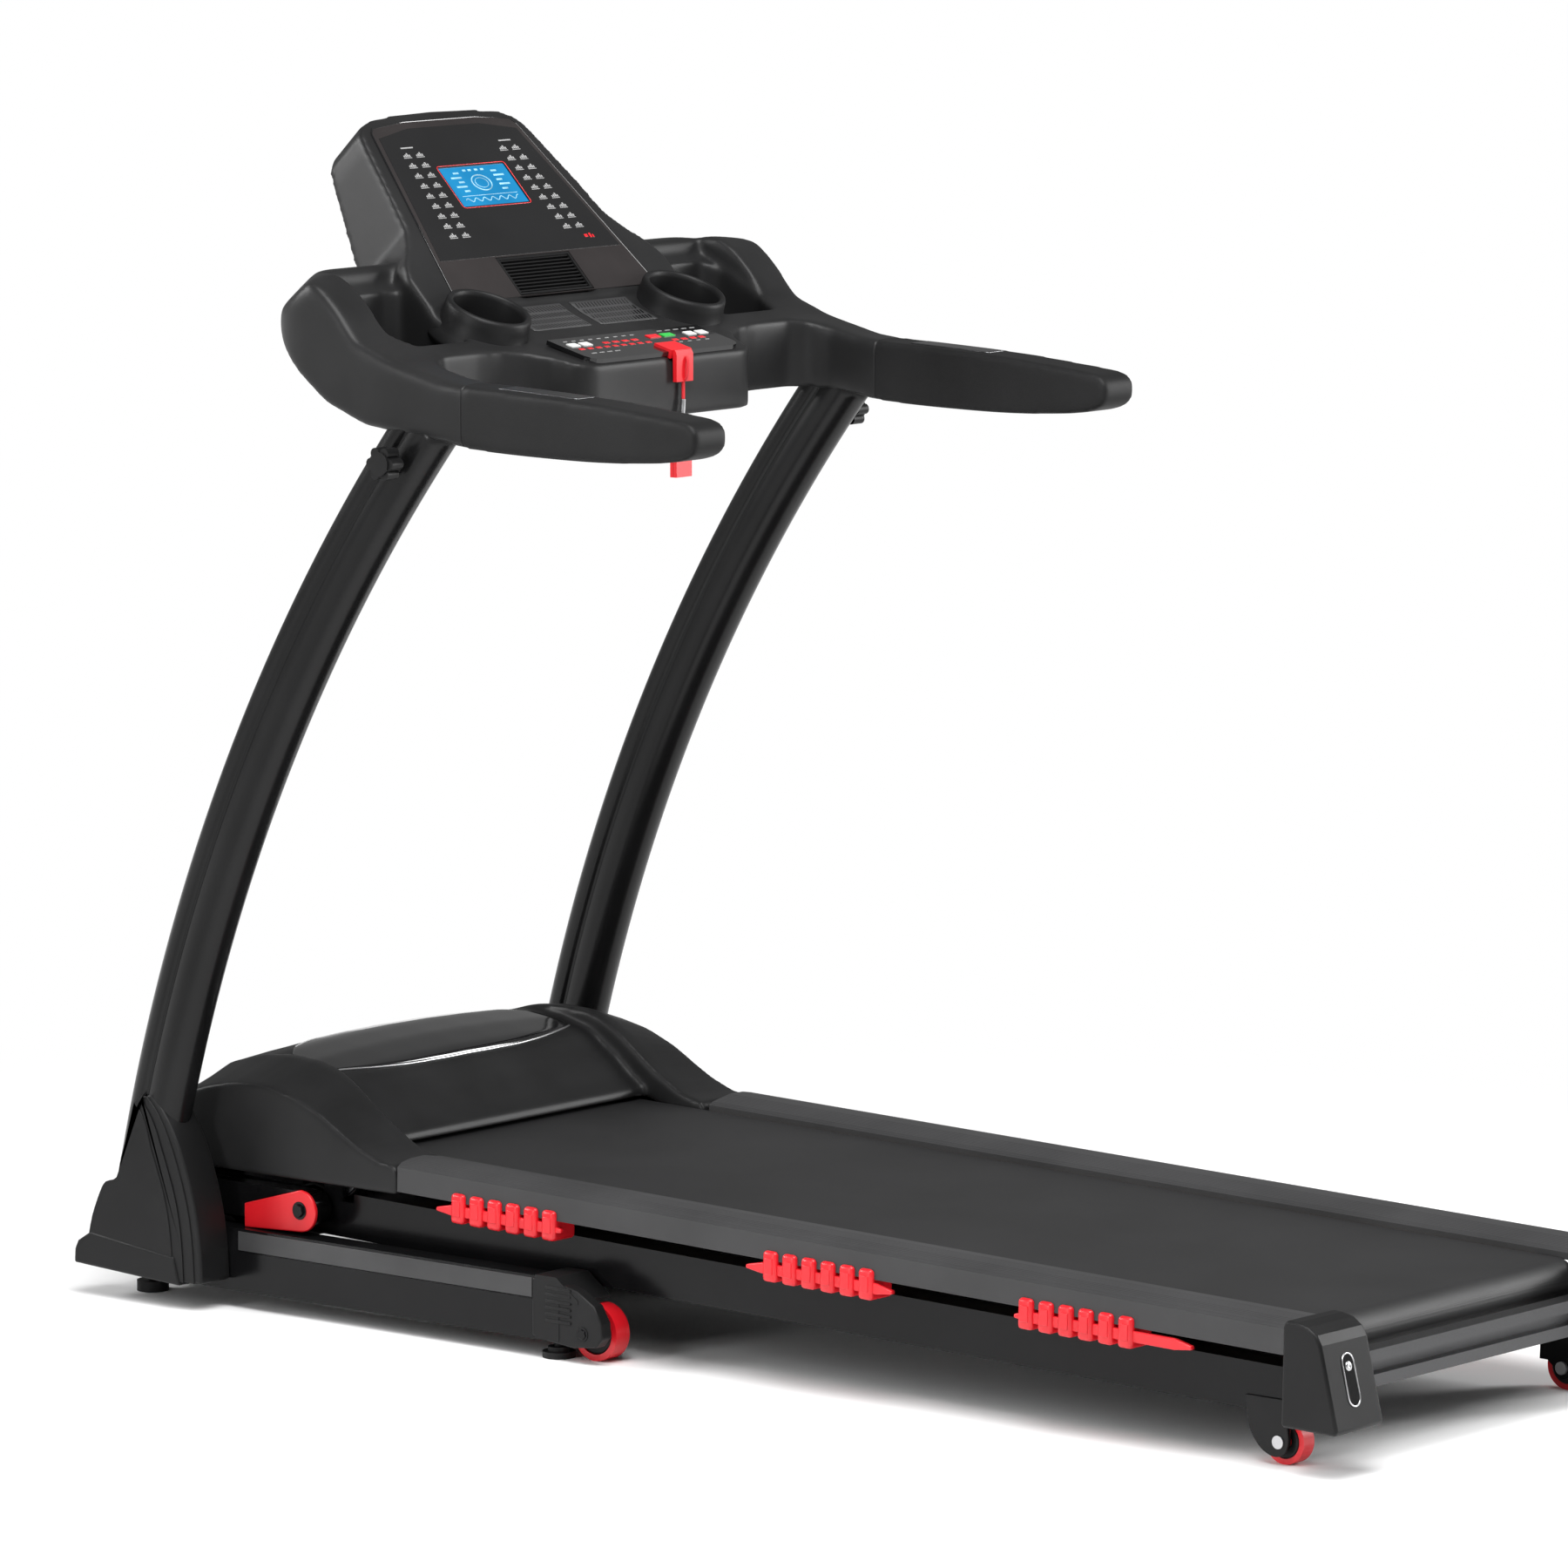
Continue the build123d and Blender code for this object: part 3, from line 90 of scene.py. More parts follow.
BLOCKS_PER_ROW = 6
CORNER_CAP = (226.0, 308.0)
ADJUSTER_X = 268.0
CAP_REAR = -852.0
LCD_LOW = 72.0
LCD_HIGH = 129.0
LCD_HALF = 55.0
SCREEN = (-LCD_HALF, LCD_HALF, LCD_LOW, LCD_HIGH)
SCREEN_MIDDLE = (LCD_LOW + LCD_HIGH) / 2
VENT = (-62, 62, -57, -2)
INK_LOW = 1.2
INK_HIGH = 1.5
KEYS = ["start_key", "stop_key", "speed_up_key", "speed_down_key", "incline_up_key", "incline_down_key"]

# the safety key's lanyard, in metres
CORD_R = 0.002
CORD_ROUTE = [
    (0.0170, 0.2916, 1.0310),
    (0.0170, 0.2914, 1.0200),
    (0.0161, 0.2908, 1.0080),
    (0.0144, 0.2902, 0.9955),
    (0.0124, 0.2904, 0.9830),
    (0.0110, 0.2900, 0.9700),
]
SLEEVE_LOW = 0.994
SLEEVE_HIGH = 1.012


# ======== materials
def new_material(name):
    """Empty node material with a Principled shader; gives material, node tree and shader."""
    mat = bpy.data.materials.new(name)
    mat.use_nodes = True
    tree = mat.node_tree
    tree.nodes.clear()
    out = tree.nodes.new("ShaderNodeOutputMaterial")
    shader = tree.nodes.new("ShaderNodeBsdfPrincipled")
    tree.links.new(shader.outputs["BSDF"], out.inputs["Surface"])
    return mat, tree, shader


def coordinates(tree, scale=(1, 1, 1), turn=(0, 0, 0)):
    """Object coordinates in metres, through a mapping."""
    where = tree.nodes.new("ShaderNodeTexCoord")
    mapping = tree.nodes.new("ShaderNodeMapping")
    mapping.inputs["Scale"].default_value = scale
    mapping.inputs["Rotation"].default_value = turn
    tree.links.new(where.outputs["Object"], mapping.inputs["Vector"])
    return mapping.outputs["Vector"]


def noise(tree, vector, scale, detail=3.0, rough=0.5):
    """Noise texture's grey output."""
    tex = tree.nodes.new("ShaderNodeTexNoise")
    tex.inputs["Scale"].default_value = scale
    tex.inputs["Detail"].default_value = detail
    tex.inputs["Roughness"].default_value = rough
    tree.links.new(vector, tex.inputs["Vector"])
    return tex.outputs["Fac"]


def wave(tree, vector, direction, scale, distortion=0.0):
    """Wave texture's grey output, banded along one axis."""
    tex = tree.nodes.new("ShaderNodeTexWave")
    tex.bands_direction = direction
    tex.inputs["Scale"].default_value = scale
    tex.inputs["Distortion"].default_value = distortion
    tree.links.new(vector, tex.inputs["Vector"])
    return tex.outputs["Fac"]


def ramp(tree, fac, low, high, start=0.3, end=0.7):
    """Two-colour ramp driven by a grey value."""
    node = tree.nodes.new("ShaderNodeValToRGB")
    node.color_ramp.elements[0].position = start
    node.color_ramp.elements[1].position = end
    node.color_ramp.elements[0].color = (*low, 1)
    node.color_ramp.elements[1].color = (*high, 1)
    tree.links.new(fac, node.inputs["Fac"])
    return node.outputs["Color"]


def spread(tree, fac, low, high):
    """Grey value stretched from 0..1 to low..high."""
    node = tree.nodes.new("ShaderNodeMapRange")
    node.inputs["To Min"].default_value = low
    node.inputs["To Max"].default_value = high
    tree.links.new(fac, node.inputs["Value"])
    return node.outputs["Result"]


def bump(tree, shader, height, strength, distance):
    """Bump from a grey height, into the shader's normal."""
    node = tree.nodes.new("ShaderNodeBump")
    node.inputs["Strength"].default_value = strength
    node.inputs["Distance"].default_value = distance
    tree.links.new(height, node.inputs["Height"])
    tree.links.new(node.outputs["Normal"], shader.inputs["Normal"])


def paint(tree, shader, fac, colour, tints, rough):
    """Base colour between two tints of a colour, and roughness, both led by one grey value."""
    low, high = [tuple(min(1.0, c * tint) for c in colour) for tint in tints]
    tree.links.new(ramp(tree, fac, low, high), shader.inputs["Base Color"])
    tree.links.new(spread(tree, fac, *rough), shader.inputs["Roughness"])


def grained(name, colour, rough, grain=900.0, depth=0.25, contrast=0.25, metallic=0.0, coat=0.0, shine=0.5):
    """Moulded or painted surface: mottled colour, uneven roughness and a fine grain."""
    mat, tree, shader = new_material(name)
    shader.inputs["Specular IOR Level"].default_value = shine
    vector = coordinates(tree)
    broad = noise(tree, vector, 9.0, 4.0)
    paint(tree, shader, broad, colour, (1 - contrast, 1 + contrast), (rough * 0.88, rough * 1.12))
    shader.inputs["Metallic"].default_value = metallic
    shader.inputs["Coat Weight"].default_value = coat
    shader.inputs["Coat Roughness"].default_value = 0.12
    bump(tree, shader, noise(tree, vector, grain, 2.0), depth, 0.0004)
    return mat


def brushed(name, colour, rough, stretch):
    """Metal with fine lines drawn out along one axis."""
    mat, tree, shader = new_material(name)
    lines = noise(tree, coordinates(tree, scale=stretch), 260.0, 3.0)
    paint(tree, shader, lines, colour, (0.85, 1.1), (rough * 0.8, rough * 1.25))
    shader.inputs["Metallic"].default_value = 1.0
    bump(tree, shader, lines, 0.12, 0.0003)
    return mat


def woven(name, colour, rough, pitch, depth):
    """Belt or cord surface: two crossed fine waves with a little noise."""
    mat, tree, shader = new_material(name)
    vector = coordinates(tree)
    mix = tree.nodes.new("ShaderNodeMath")
    mix.operation = "MULTIPLY"
    for direction, factor in zip("XY", mix.inputs):
        tree.links.new(wave(tree, vector, direction, pitch, 0.6), factor)
    broad = noise(tree, vector, 6.0, 5.0)
    paint(tree, shader, broad, colour, (0.8, 1.25), (rough * 0.9, rough * 1.1))
    bump(tree, shader, mix.outputs["Value"], depth, 0.0004)
    return mat


def laminated(name, colour):
    """Edge of a laminated board: thin layers and wood flecks."""
    mat, tree, shader = new_material(name)
    layers = noise(tree, coordinates(tree, scale=(2, 1, 60)), 14.0, 6.0, 0.6)
    paint(tree, shader, layers, colour, (0.6, 1), (0.45, 0.7))
    bump(tree, shader, layers, 0.2, 0.0005)
    return mat


def screen_material():
    """Backlit liquid crystal: a dark glass that glows in softly changing blue."""
    mat, tree, shader = new_material("screen_blue")
    vector = coordinates(tree)
    glow = noise(tree, vector, 14.0, 2.0)
    unlit = ramp(tree, glow, (0.0, 0.02, 0.05), (0.0, 0.03, 0.07))
    lit = ramp(tree, glow, (0.0, 0.21, 0.47), (0.01, 0.31, 0.64))
    tree.links.new(unlit, shader.inputs["Base Color"])
    tree.links.new(lit, shader.inputs["Emission Color"])
    shader.inputs["Emission Strength"].default_value = 0.9
    tree.links.new(spread(tree, glow, 0.18, 0.28), shader.inputs["Roughness"])
    return mat


def ribbed(name, colour, rough, pitch):
    """Moulded rail: fine grooves along its length over an uneven satin surface."""
    mat, tree, shader = new_material(name)
    shader.inputs["Specular IOR Level"].default_value = 0.35
    vector = coordinates(tree)
    broad = noise(tree, vector, 7.0, 4.0)
    paint(tree, shader, broad, colour, (0.82, 1.18), (rough * 0.9, rough * 1.1))
    bump(tree, shader, wave(tree, vector, "X", pitch), 0.35, 0.0006)
    return mat


def lit_mark(name, colour, strength):
    """Faintly uneven glowing mark for the screen's graphics."""
    mat, tree, shader = new_material(name)
    cloud = noise(tree, coordinates(tree), 60.0, 2.0)
    low = tuple(c * 0.85 for c in colour)
    dark = tuple(c * 0.2 for c in colour)
    tree.links.new(ramp(tree, cloud, dark, low), shader.inputs["Base Color"])
    tree.links.new(ramp(tree, cloud, low, colour), shader.inputs["Emission Color"])
    tree.links.new(spread(tree, cloud, 0.3, 0.4), shader.inputs["Roughness"])
    shader.inputs["Emission Strength"].default_value = strength
    return mat


MATERIALS = {
    "gloss_black_steel": grained("gloss_black_steel", (0.0048, 0.0048, 0.0052),
                                 0.2, 700, 0.04, coat=0.04, shine=0.16),
    "satin_graphite_steel": grained("satin_graphite_steel", (0.005, 0.005, 0.0052),
                                    0.25, 1100, 0.05, shine=0.24),
    "bare_steel": brushed("bare_steel", (0.50, 0.50, 0.51), 0.32, (1, 12, 12)),
    "chrome_plate": brushed("chrome_plate", (0.62, 0.62, 0.64), 0.18, (12, 1, 12)),
    "alloy": brushed("alloy", (0.075, 0.075, 0.077), 0.38, (1, 20, 20)),
    "black_plastic": grained("black_plastic", (0.0072, 0.0072, 0.0075), 0.45, 1300, 0.2, shine=0.2),
    "grey_plastic": grained("grey_plastic", (0.0114, 0.0114, 0.0117), 0.42, 1200, 0.16, shine=0.22),
    "rail_grey": ribbed("rail_grey", (0.0323, 0.0323, 0.0333), 0.42, 90.0),
    "gloss_black_plastic": grained("gloss_black_plastic", (0.0048, 0.0048, 0.0052), 0.1, 300, 0.01, coat=0.5),
    "red_plastic": grained("red_plastic", (0.60, 0.008, 0.014), 0.34, 900, 0.08, 0.1),
    "red_rubber": grained("red_rubber", (0.66, 0.008, 0.016), 0.36, 800, 0.08, 0.1),
    "black_rubber": grained("black_rubber", (0.0078, 0.0078, 0.0081), 0.55, 900, 0.25, shine=0.2),
    "belt_fabric": woven("belt_fabric", (0.0080, 0.0080, 0.0084), 0.5, 420.0, 0.3),
    "board_wood": laminated("board_wood", (0.25, 0.19, 0.13)),
    "screen_glass": screen_material(),
    "green_key": grained("green_key", (0.03, 0.42, 0.06), 0.35, 600, 0.1),
    "red_key": grained("red_key", (0.65, 0.012, 0.02), 0.35, 600, 0.1),
    "white_key": grained("white_key", (0.70, 0.70, 0.69), 0.35, 600, 0.1, 0.06),
    "cord_weave": woven("cord_weave", (0.60, 0.010, 0.018), 0.6, 900.0, 0.5),
    "panel_bronze": grained("panel_bronze", (0.0252, 0.0217, 0.0217),
                            0.34, 1500, 0.1, metallic=0.25, shine=0.4),
    "band_grey": grained("band_grey", (0.042, 0.042, 0.043), 0.4, 1200, 0.1, shine=0.3),
    "contact_steel": brushed("contact_steel", (0.16, 0.16, 0.165), 0.32, (12, 1, 12)),
    "mark_white": grained("mark_white", (0.30, 0.30, 0.30), 0.4, 600, 0.05, 0.08),
    "screen_pale": lit_mark("screen_pale", (0.30, 0.58, 0.72), 0.6),
    "satin_silver": brushed("satin_silver", (0.58, 0.58, 0.59), 0.3, (10, 10, 1)),
}


def paint_cad_nodes():
    """Give every CAD node the detailed material of its record slot."""
    for entry in frame["record"]["subparts"]:
        obj = NODES[entry["node"]]
        obj.data.materials.clear()
        obj.data.materials.append(MATERIALS[entry["material_slot"]])


# ======== mesh tools
def scaled(points):
    """Points given in millimetres, as vectors in metres."""
    return [Vector(p) * MM for p in points]


def shift(x, y, z):
    """Matrix that moves a mesh by millimetres."""
    return Matrix.Translation(Vector((x, y, z)) * MM)


def turned(angle, axis):
    """Matrix that turns a mesh about an axis through the origin."""
    return Matrix.Rotation(angle, 4, axis)


def circle(radius, steps, centre=(0, 0), start=0.0):
    """Points evenly spaced round a circle, from a start angle in degrees."""
    turns = [radians(start + 360 * k / steps) for k in range(steps)]
    return [(centre[0] + radius * cos(a), centre[1] + radius * sin(a)) for a in turns]


def rectangle(x0, x1, y0, y1):
    """Corners of a rectangle, in order."""
    return [(x0, y0), (x1, y0), (x1, y1), (x0, y1)]


def mirrored(right, middle=0):
    """Whole outline from its right half; the last middle points lie on the line between the halves."""
    return right + [(-x, y) for x, y in reversed(right[:len(right) - middle])]


def add_object(name, data):
    """New object in the scene."""
    obj = bpy.data.objects.new(name, data)
    bpy.context.scene.collection.objects.link(obj)
    return obj


def evaluated_mesh(obj):
    """New mesh of an object, as its modifiers or its curve shape it."""
    graph = bpy.context.evaluated_depsgraph_get()
    return bpy.data.meshes.new_from_object(obj.evaluated_get(graph))


def mesh_object(name, verts, faces, smooth=True):
    """Object from plain vertices (millimetres) and faces."""
    mesh = bpy.data.meshes.new(name)
    mesh.from_pydata(scaled(verts), [], faces)
    work = bmesh.new()
    work.from_mesh(mesh)
    bmesh.ops.recalc_face_normals(work, faces=work.faces)
    work.to_mesh(mesh)
    work.free()
    mesh.polygons.foreach_set("use_smooth", [smooth] * len(mesh.polygons))
    return add_object(name, mesh)


def skinned(name, rings, smooth):
    """Closed mesh through rings that have the same number of points, capped at both ends."""
    count = len(rings[0])
    verts = [point for ring in rings for point in ring]
    faces = [tuple(range(count)), tuple(range(len(verts) - 1, len(verts) - 1 - count, -1))]
    for i in range(len(rings) - 1):
        for k in range(count):
            m = (k + 1) % count
            faces.append((i * count + k, i * count + m, (i + 1) * count + m, (i + 1) * count + k))
    return mesh_object(name, verts, faces, smooth)


def prism(name, outline, axis, low, high):
    """Closed flat outline extruded along an axis: x takes (y, z) points, z takes (x, y), y takes (x, z)."""
    place = {
        "x": lambda a, b, h: (h, a, b),
        "y": lambda a, b, h: (a, h, b),
        "z": lambda a, b, h: (a, b, h),
    }[axis]
    return skinned(name, [[place(a, b, h) for a, b in outline] for h in (low, high)], False)


def applied(obj):
    """Bake an object's modifiers into its mesh."""
    baked = evaluated_mesh(obj)
    obj.modifiers.clear()
    old = obj.data
    obj.data = baked
    bpy.data.meshes.remove(old)
    return obj


def combine(target, tool, operation):
    """Boolean of two closed meshes; the tool is used up."""
    modifier = target.modifiers.new("combine", "BOOLEAN")
    modifier.operation = operation
    modifier.solver = "EXACT"
    modifier.object = tool
    applied(target)
    bpy.data.objects.remove(tool)
    return target


def cut(target, tool):
    """Take a tool's volume out of a mesh; the tool is used up."""
    return combine(target, tool, "DIFFERENCE")


def soften(obj, voxel, rounds):
    """Turn a blocky closed mesh into an even skin and round its edges."""
    remesh = obj.modifiers.new("skin", "REMESH")
    remesh.mode = "VOXEL"
    remesh.voxel_size = voxel * MM
    smooth = obj.modifiers.new("round", "SMOOTH")
    smooth.factor = 0.5
    smooth.iterations = rounds
    applied(obj)
    obj.data.polygons.foreach_set("use_smooth", [True] * len(obj.data.polygons))
    return obj


def sliced(obj, name, point, normal, keep_front):
    """Copy of a closed mesh cut flat by a plane (millimetres), keeping one side."""
    copy = add_object(name, obj.data.copy())
    work = bmesh.new()
    work.from_mesh(copy.data)
    geometry = work.verts[:] + work.edges[:] + work.faces[:]
    split = bmesh.ops.bisect_plane(work, geom=geometry, plane_co=Vector(point) * MM, plane_no=Vector(normal),
                                   clear_inner=keep_front, clear_outer=not keep_front)
    rim = [e for e in split["geom_cut"] if isinstance(e, bmesh.types.BMEdge)]
    bmesh.ops.holes_fill(work, edges=rim, sides=0)
    work.to_mesh(copy.data)
    work.free()
    return copy


def finish_piece(obj, material, body, replaced=()):
    """Give a piece its material and body, and hide the CAD nodes that it stands for."""
    obj.data.materials.clear()
    obj.data.materials.append(MATERIALS[material])
    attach(obj, body)
    if replaced:
        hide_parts(*replaced)
    return obj


def joined(name, parts):
    """One object from several, which are used up."""
    work = bmesh.new()
    for part in parts:
        part.data.transform(part.matrix_world)
        work.from_mesh(part.data)
        bpy.data.objects.remove(part)
    mesh = bpy.data.meshes.new(name)
    work.to_mesh(mesh)
    work.free()
    return add_object(name, mesh)


def lathe(name, profile, steps=72):
    """Closed ring or pot from an (r, z) profile turned about Z, in millimetres."""
    verts = []
    for i in range(steps):
        a = 2 * pi * i / steps
        verts += [(r * cos(a), r * sin(a), z) for r, z in profile]
    count = len(profile)
    faces = []
    for i in range(steps):
        j = (i + 1) % steps
        for k in range(count):
            m = (k + 1) % count
            faces.append((i * count + k, j * count + k, j * count + m, i * count + m))
    return mesh_object(name, verts, faces)


def placed(obj, matrix):
    """Move an object's mesh itself by a matrix."""
    obj.data.transform(matrix)
    return obj


def tube_along(name, points, radius, closed=False):
    """Thin round tube through millimetre points, as a mesh."""
    curve = bpy.data.curves.new(name, "CURVE")
    curve.dimensions = "3D"
    spline = curve.splines.new("POLY")
    spline.points.add(len(points) - 1)
    for slot_point, p in zip(spline.points, scaled(points)):
        slot_point.co = (*p, 1)
    spline.use_cyclic_u = closed
    curve.bevel_depth = radius * MM
    curve.bevel_resolution = 3
    holder = add_object(name, curve)
    mesh = evaluated_mesh(holder)
    bpy.data.objects.remove(holder)
    mesh.polygons.foreach_set("use_smooth", [True] * len(mesh.polygons))
    return add_object(name, mesh)


def curved(points, steps):
    """Smooth open line through the points, each stretch cut into equal steps."""
    last = len(points) - 1
    line = []
    for i in range(last):
        near = [points[min(max(i + k, 0), last)] for k in (-1, 0, 1, 2)]
        for k in range(steps):
            t = k / steps
            weights = (-t + 2 * t ** 2 - t ** 3, 2 - 5 * t ** 2 + 3 * t ** 3,
                       t + 4 * t ** 2 - 3 * t ** 3, t ** 3 - t ** 2)
            sums = [sum(w * p[c] for w, p in zip(weights, near)) for c in range(len(points[0]))]
            line.append(tuple(total / 2 for total in sums))
    return line + [tuple(points[-1])]


def bevelled(obj, width, segments=3):
    """Round a mesh's sharp edges."""
    bevel = obj.modifiers.new("edge", "BEVEL")
    bevel.width = width * MM
    bevel.segments = segments
    bevel.limit_method = "ANGLE"
    bevel.angle_limit = radians(35)
    applied(obj)
    for face in obj.data.polygons:
        shortest = min((obj.data.vertices[a].co - obj.data.vertices[b].co).length for a, b in face.edge_keys)
        face.use_smooth = len(face.vertices) <= 4 and shortest < 2.2 * width * MM
    return obj


def block(name, low, high, width):
    """Box between two corners, with rounded edges."""
    outline = rectangle(low[0], high[0], low[1], high[1])
    return bevelled(prism(name, outline, "z", low[2], high[2]), width)


def eased(obj, weight, rounds):
    """Round a skin further where weight(point in millimetres) is above zero."""
    group = obj.vertex_groups.new(name="ease")
    for vertex in obj.data.vertices:
        amount = weight(vertex.co / MM)
        if amount > 0:
            group.add([vertex.index], min(1.0, amount), "REPLACE")
    smooth = obj.modifiers.new("ease", "SMOOTH")
    smooth.factor = 0.5
    smooth.iterations = rounds
    smooth.vertex_group = group.name
    return applied(obj)


def loft(name, sections):
    """Closed mesh through (x, outline) sections whose outlines have the same number of (y, z) points."""
    return skinned(name, [[(x, y, z) for y, z in outline] for x, outline in sections], False)


def on_surface(target, x, y, lift):
    """Point on top of a piece at plan place (x, y), raised by lift, in millimetres."""
    hit, place, normal = target.ray_cast(Vector((x, y, 1500)) * MM, Vector((0, 0, -1)))[:3]
    return tuple((place + normal * lift * MM) / MM) if hit else (x, y, 0)


def laid_on(name, target, rows, lift, thick):
    """Thin sheet that follows the top of a piece over a grid of plan places."""
    width = len(rows[0])
    verts = [on_surface(target, x, y, lift) for row in rows for x, y in row]
    faces = [(i * width + k, i * width + k + 1, (i + 1) * width + k + 1, (i + 1) * width + k)
             for i in range(len(rows) - 1) for k in range(width - 1)]
    obj = mesh_object(name, verts, faces)
    solid = obj.modifiers.new("thick", "SOLIDIFY")
    solid.thickness = thick * MM
    solid.offset = 0
    return applied(obj)


def stadium(half_width, half_height, steps=8):
    """Closed upright slot outline about the origin."""
    straight = half_height - half_width
    arc = [radians(180 * k / steps) for k in range(steps + 1)]
    top = [(half_width * cos(a), straight + half_width * sin(a)) for a in arc]
    return top + [(-x, -z) for x, z in top]


def deck_matrix():
    """From the deck's own level frame to the machine's."""
    return shift(0, 0, BELT_Z0) @ turned(DECK_SLOPE, "X")


def hex_bolt(name, at, side, radius, height):
    """Six-sided bolt head with a washer, facing outwards along X."""
    x, y, z = at
    head = bevelled(prism(name, circle(radius, 6, (y, z), 15), "x", x, x + side * height), 0.7, 2)
    ring = circle(radius * 1.35, 24, (y, z))
    washer = prism(name + "_washer", ring, "x", x - side * 0.5, x + side * 1.2)
    return joined(name, [head, washer])


# ======== console
def panel_matrix():
    """From the display panel's own frame (x, up the panel, out of it) to the machine's."""
    return shift(0, PANEL_Y, PANEL_Z) @ turned(PANEL_TILT, "X")


def keypad_matrix():
    """From the keypad's own frame to the machine's."""
    return shift(0, KEYPAD_Y, KEYPAD_Z) @ turned(KEYPAD_TILT, "X")


def cup_matrix(side):
    """From a cup's own frame to the machine's."""
    return shift(side * CUP_X, CUP_Y, CUP_Z) @ turned(CUP_TILT, "X")


def console_plan():
    """Plan outline (x, y) of the console's arms and tray deck."""
    right = [(122, 296), (137, 299), (146, 306), (151, 318), (159, 336), (176, 354), (200, 365), (235, 370),
             (290, 370), (314, 358), (CONSOLE_IN_X, 335), (CONSOLE_IN_X, 236), (CONSOLE_OUT_X, 236)]
    centre = (CONSOLE_OUT_X - CORNER_R, CONSOLE_FRONT_Y - CORNER_R)
    return mirrored(right + circle(CORNER_R, 48, centre)[:13])


def housing_outline():
    """Front outline (x, up the panel) of the display housing, flared below and with an arched crest."""
    right = [(214, -64), (222, -30), (204, 4), (184, 26), (168, 50), (142, 168), (136, 188), (124, 200),
             (100, 207), (50, 211), (0, 213)]
    return mirrored(right, 1)


def rim_form():
    """Console's arms, tray deck and rim, with the rim falling away at both front corners."""
    form = prism("console_form", console_plan(), "z", 975, 1175)
    profile = [(236, 987), (412, 1003), (470, 1025), (530, 1070), (572, 1104), (579, 1120), (578, 1146),
               (562, 1158), (530, 1162), (498, 1161), (474, 1149), (450, 1127), (424, 1096), (373, 1077),
               (300, 1060), (236, 1053)]
    combine(form, prism("side_form", profile, "x", -390, 390), "INTERSECT")
    dip = [(150, 1040), (288, 1062), (370, 1083.5), (430, 1098), (470, 1120), (520, 1140), (545, 1240),
           (200, 1240)]
    cut(form, prism("dip_form", dip, "x", -318, 318))
    for side in SIDES.values():
        fall = prism("fall_form", rectangle(-300, 300, -300, 300), "z", 0, 300)
        turn = Vector((side * 0.445, 0.549, 0.707)).to_track_quat("Z", "Y").to_matrix().to_4x4()
        cut(form, placed(fall, shift(side * 382, 471, 1166) @ turn))
    return form


def housing_form():
    """Wedge that carries the display."""
    housing = placed(prism("housing_form", housing_outline(), "z", -150, 0), panel_matrix())
    wedge = [(452, 1062), (455, 1180), (672, 1340), (694, 1302), (686, 1266), (620, 1158), (600, 1128),
             (578, 1100)]
    return combine(housing, prism("wedge_form", wedge, "x", -226, 226), "INTERSECT")


def grip_outline():
    """Side outline (y, z) of a handlebar, from its root to its rounded end and back."""
    under = [(286, 989), (190, 985.5), (90, 985), (10, 989), (-32, 994), (-51, 1001), (-58, 1011)]
    over = [(-58, 1023), (-52, 1032), (-36, 1037), (20, 1042.5), (100, 1049), (190, 1053), (286, 1056)]
    return curved(under, 6) + curved(over, 6)


def console_form():
    """Solid of the whole console with both handlebars, before its edges are rounded."""
    form = combine(rim_form(), housing_form(), "UNION")
    bar = grip_outline()
    tray = [(216, 400), (300, 400), (313, 432), (314, 488), (300, 506), (236, 508), (216, 500)]
    for side in SIDES.values():
        cut(form, prism("tray_form", [(side * x, y) for x, y in tray], "z", 1063, 1240))
        middle = side * CONSOLE_ARM_X
        combine(form, prism("bar_form", bar, "x", middle - GRIP_HALF, middle + GRIP_HALF), "UNION")
        well = lathe("well_form", [(0.01, -58), (CUP_R + 1, -58), (CUP_R + 1, 60), (0.01, 60)], 40)
        cut(form, placed(well, cup_matrix(side)))
    cut(form, placed(prism("vent_form", rectangle(*VENT), "z", -12, 20), panel_matrix()))
    cut(form, placed(prism("pad_form", rectangle(-128, 128, -36, 37), "z", 0.4, 30), keypad_matrix()))
    cut(form, placed(prism("notch_form", rectangle(-1, 35, -60, -11), "z", -8, 30), keypad_matrix()))
    return form


def rim_weight(p):
    """How much further the console's outer rim is rounded, from 0 to 1."""
    if p.z > 1166 or p.y < 262:
        return 0
    return max((abs(p.x) - 312) / 25, (p.y - 512) / 20 if abs(p.x) > 190 else 0)


def make_pulse_strips(grips):
    """Satin contact strips that follow the tops of the grips."""
    strips = []
    for side in SIDES.values():
        rows = [[(side * CONSOLE_ARM_X + x, 116 + 5 * k) for x in range(-15, 16, 3)] for k in range(23)]
        strips.append(laid_on("pulse_strip", grips, rows, 0.3, 1.2))
    finish_piece(joined("pulse_strips", strips), "contact_steel", "base", ["pulse_plates"])


def make_console():
    """Moulded console and its two handlebar sleeves, cut from one skin so that they run on."""
    form = eased(soften(console_form(), 3.5, 9), rim_weight, 40)
    shell = sliced(form, "console_shell", (0, GRIP_SEAM_Y + 0.5, 0), (0, 1, 0), True)
    grips = sliced(form, "grip_sleeves", (0, GRIP_SEAM_Y - 0.7, 0), (0, 1, 0), False)
    bpy.data.objects.remove(form)
    bpy.context.view_layer.update()
    finish_piece(shell, "grey_plastic", "base", ["console_tub", "console_back"])
    make_pulse_strips(grips)
    finish_piece(grips, "black_rubber", "base", ["grips"])
    return shell


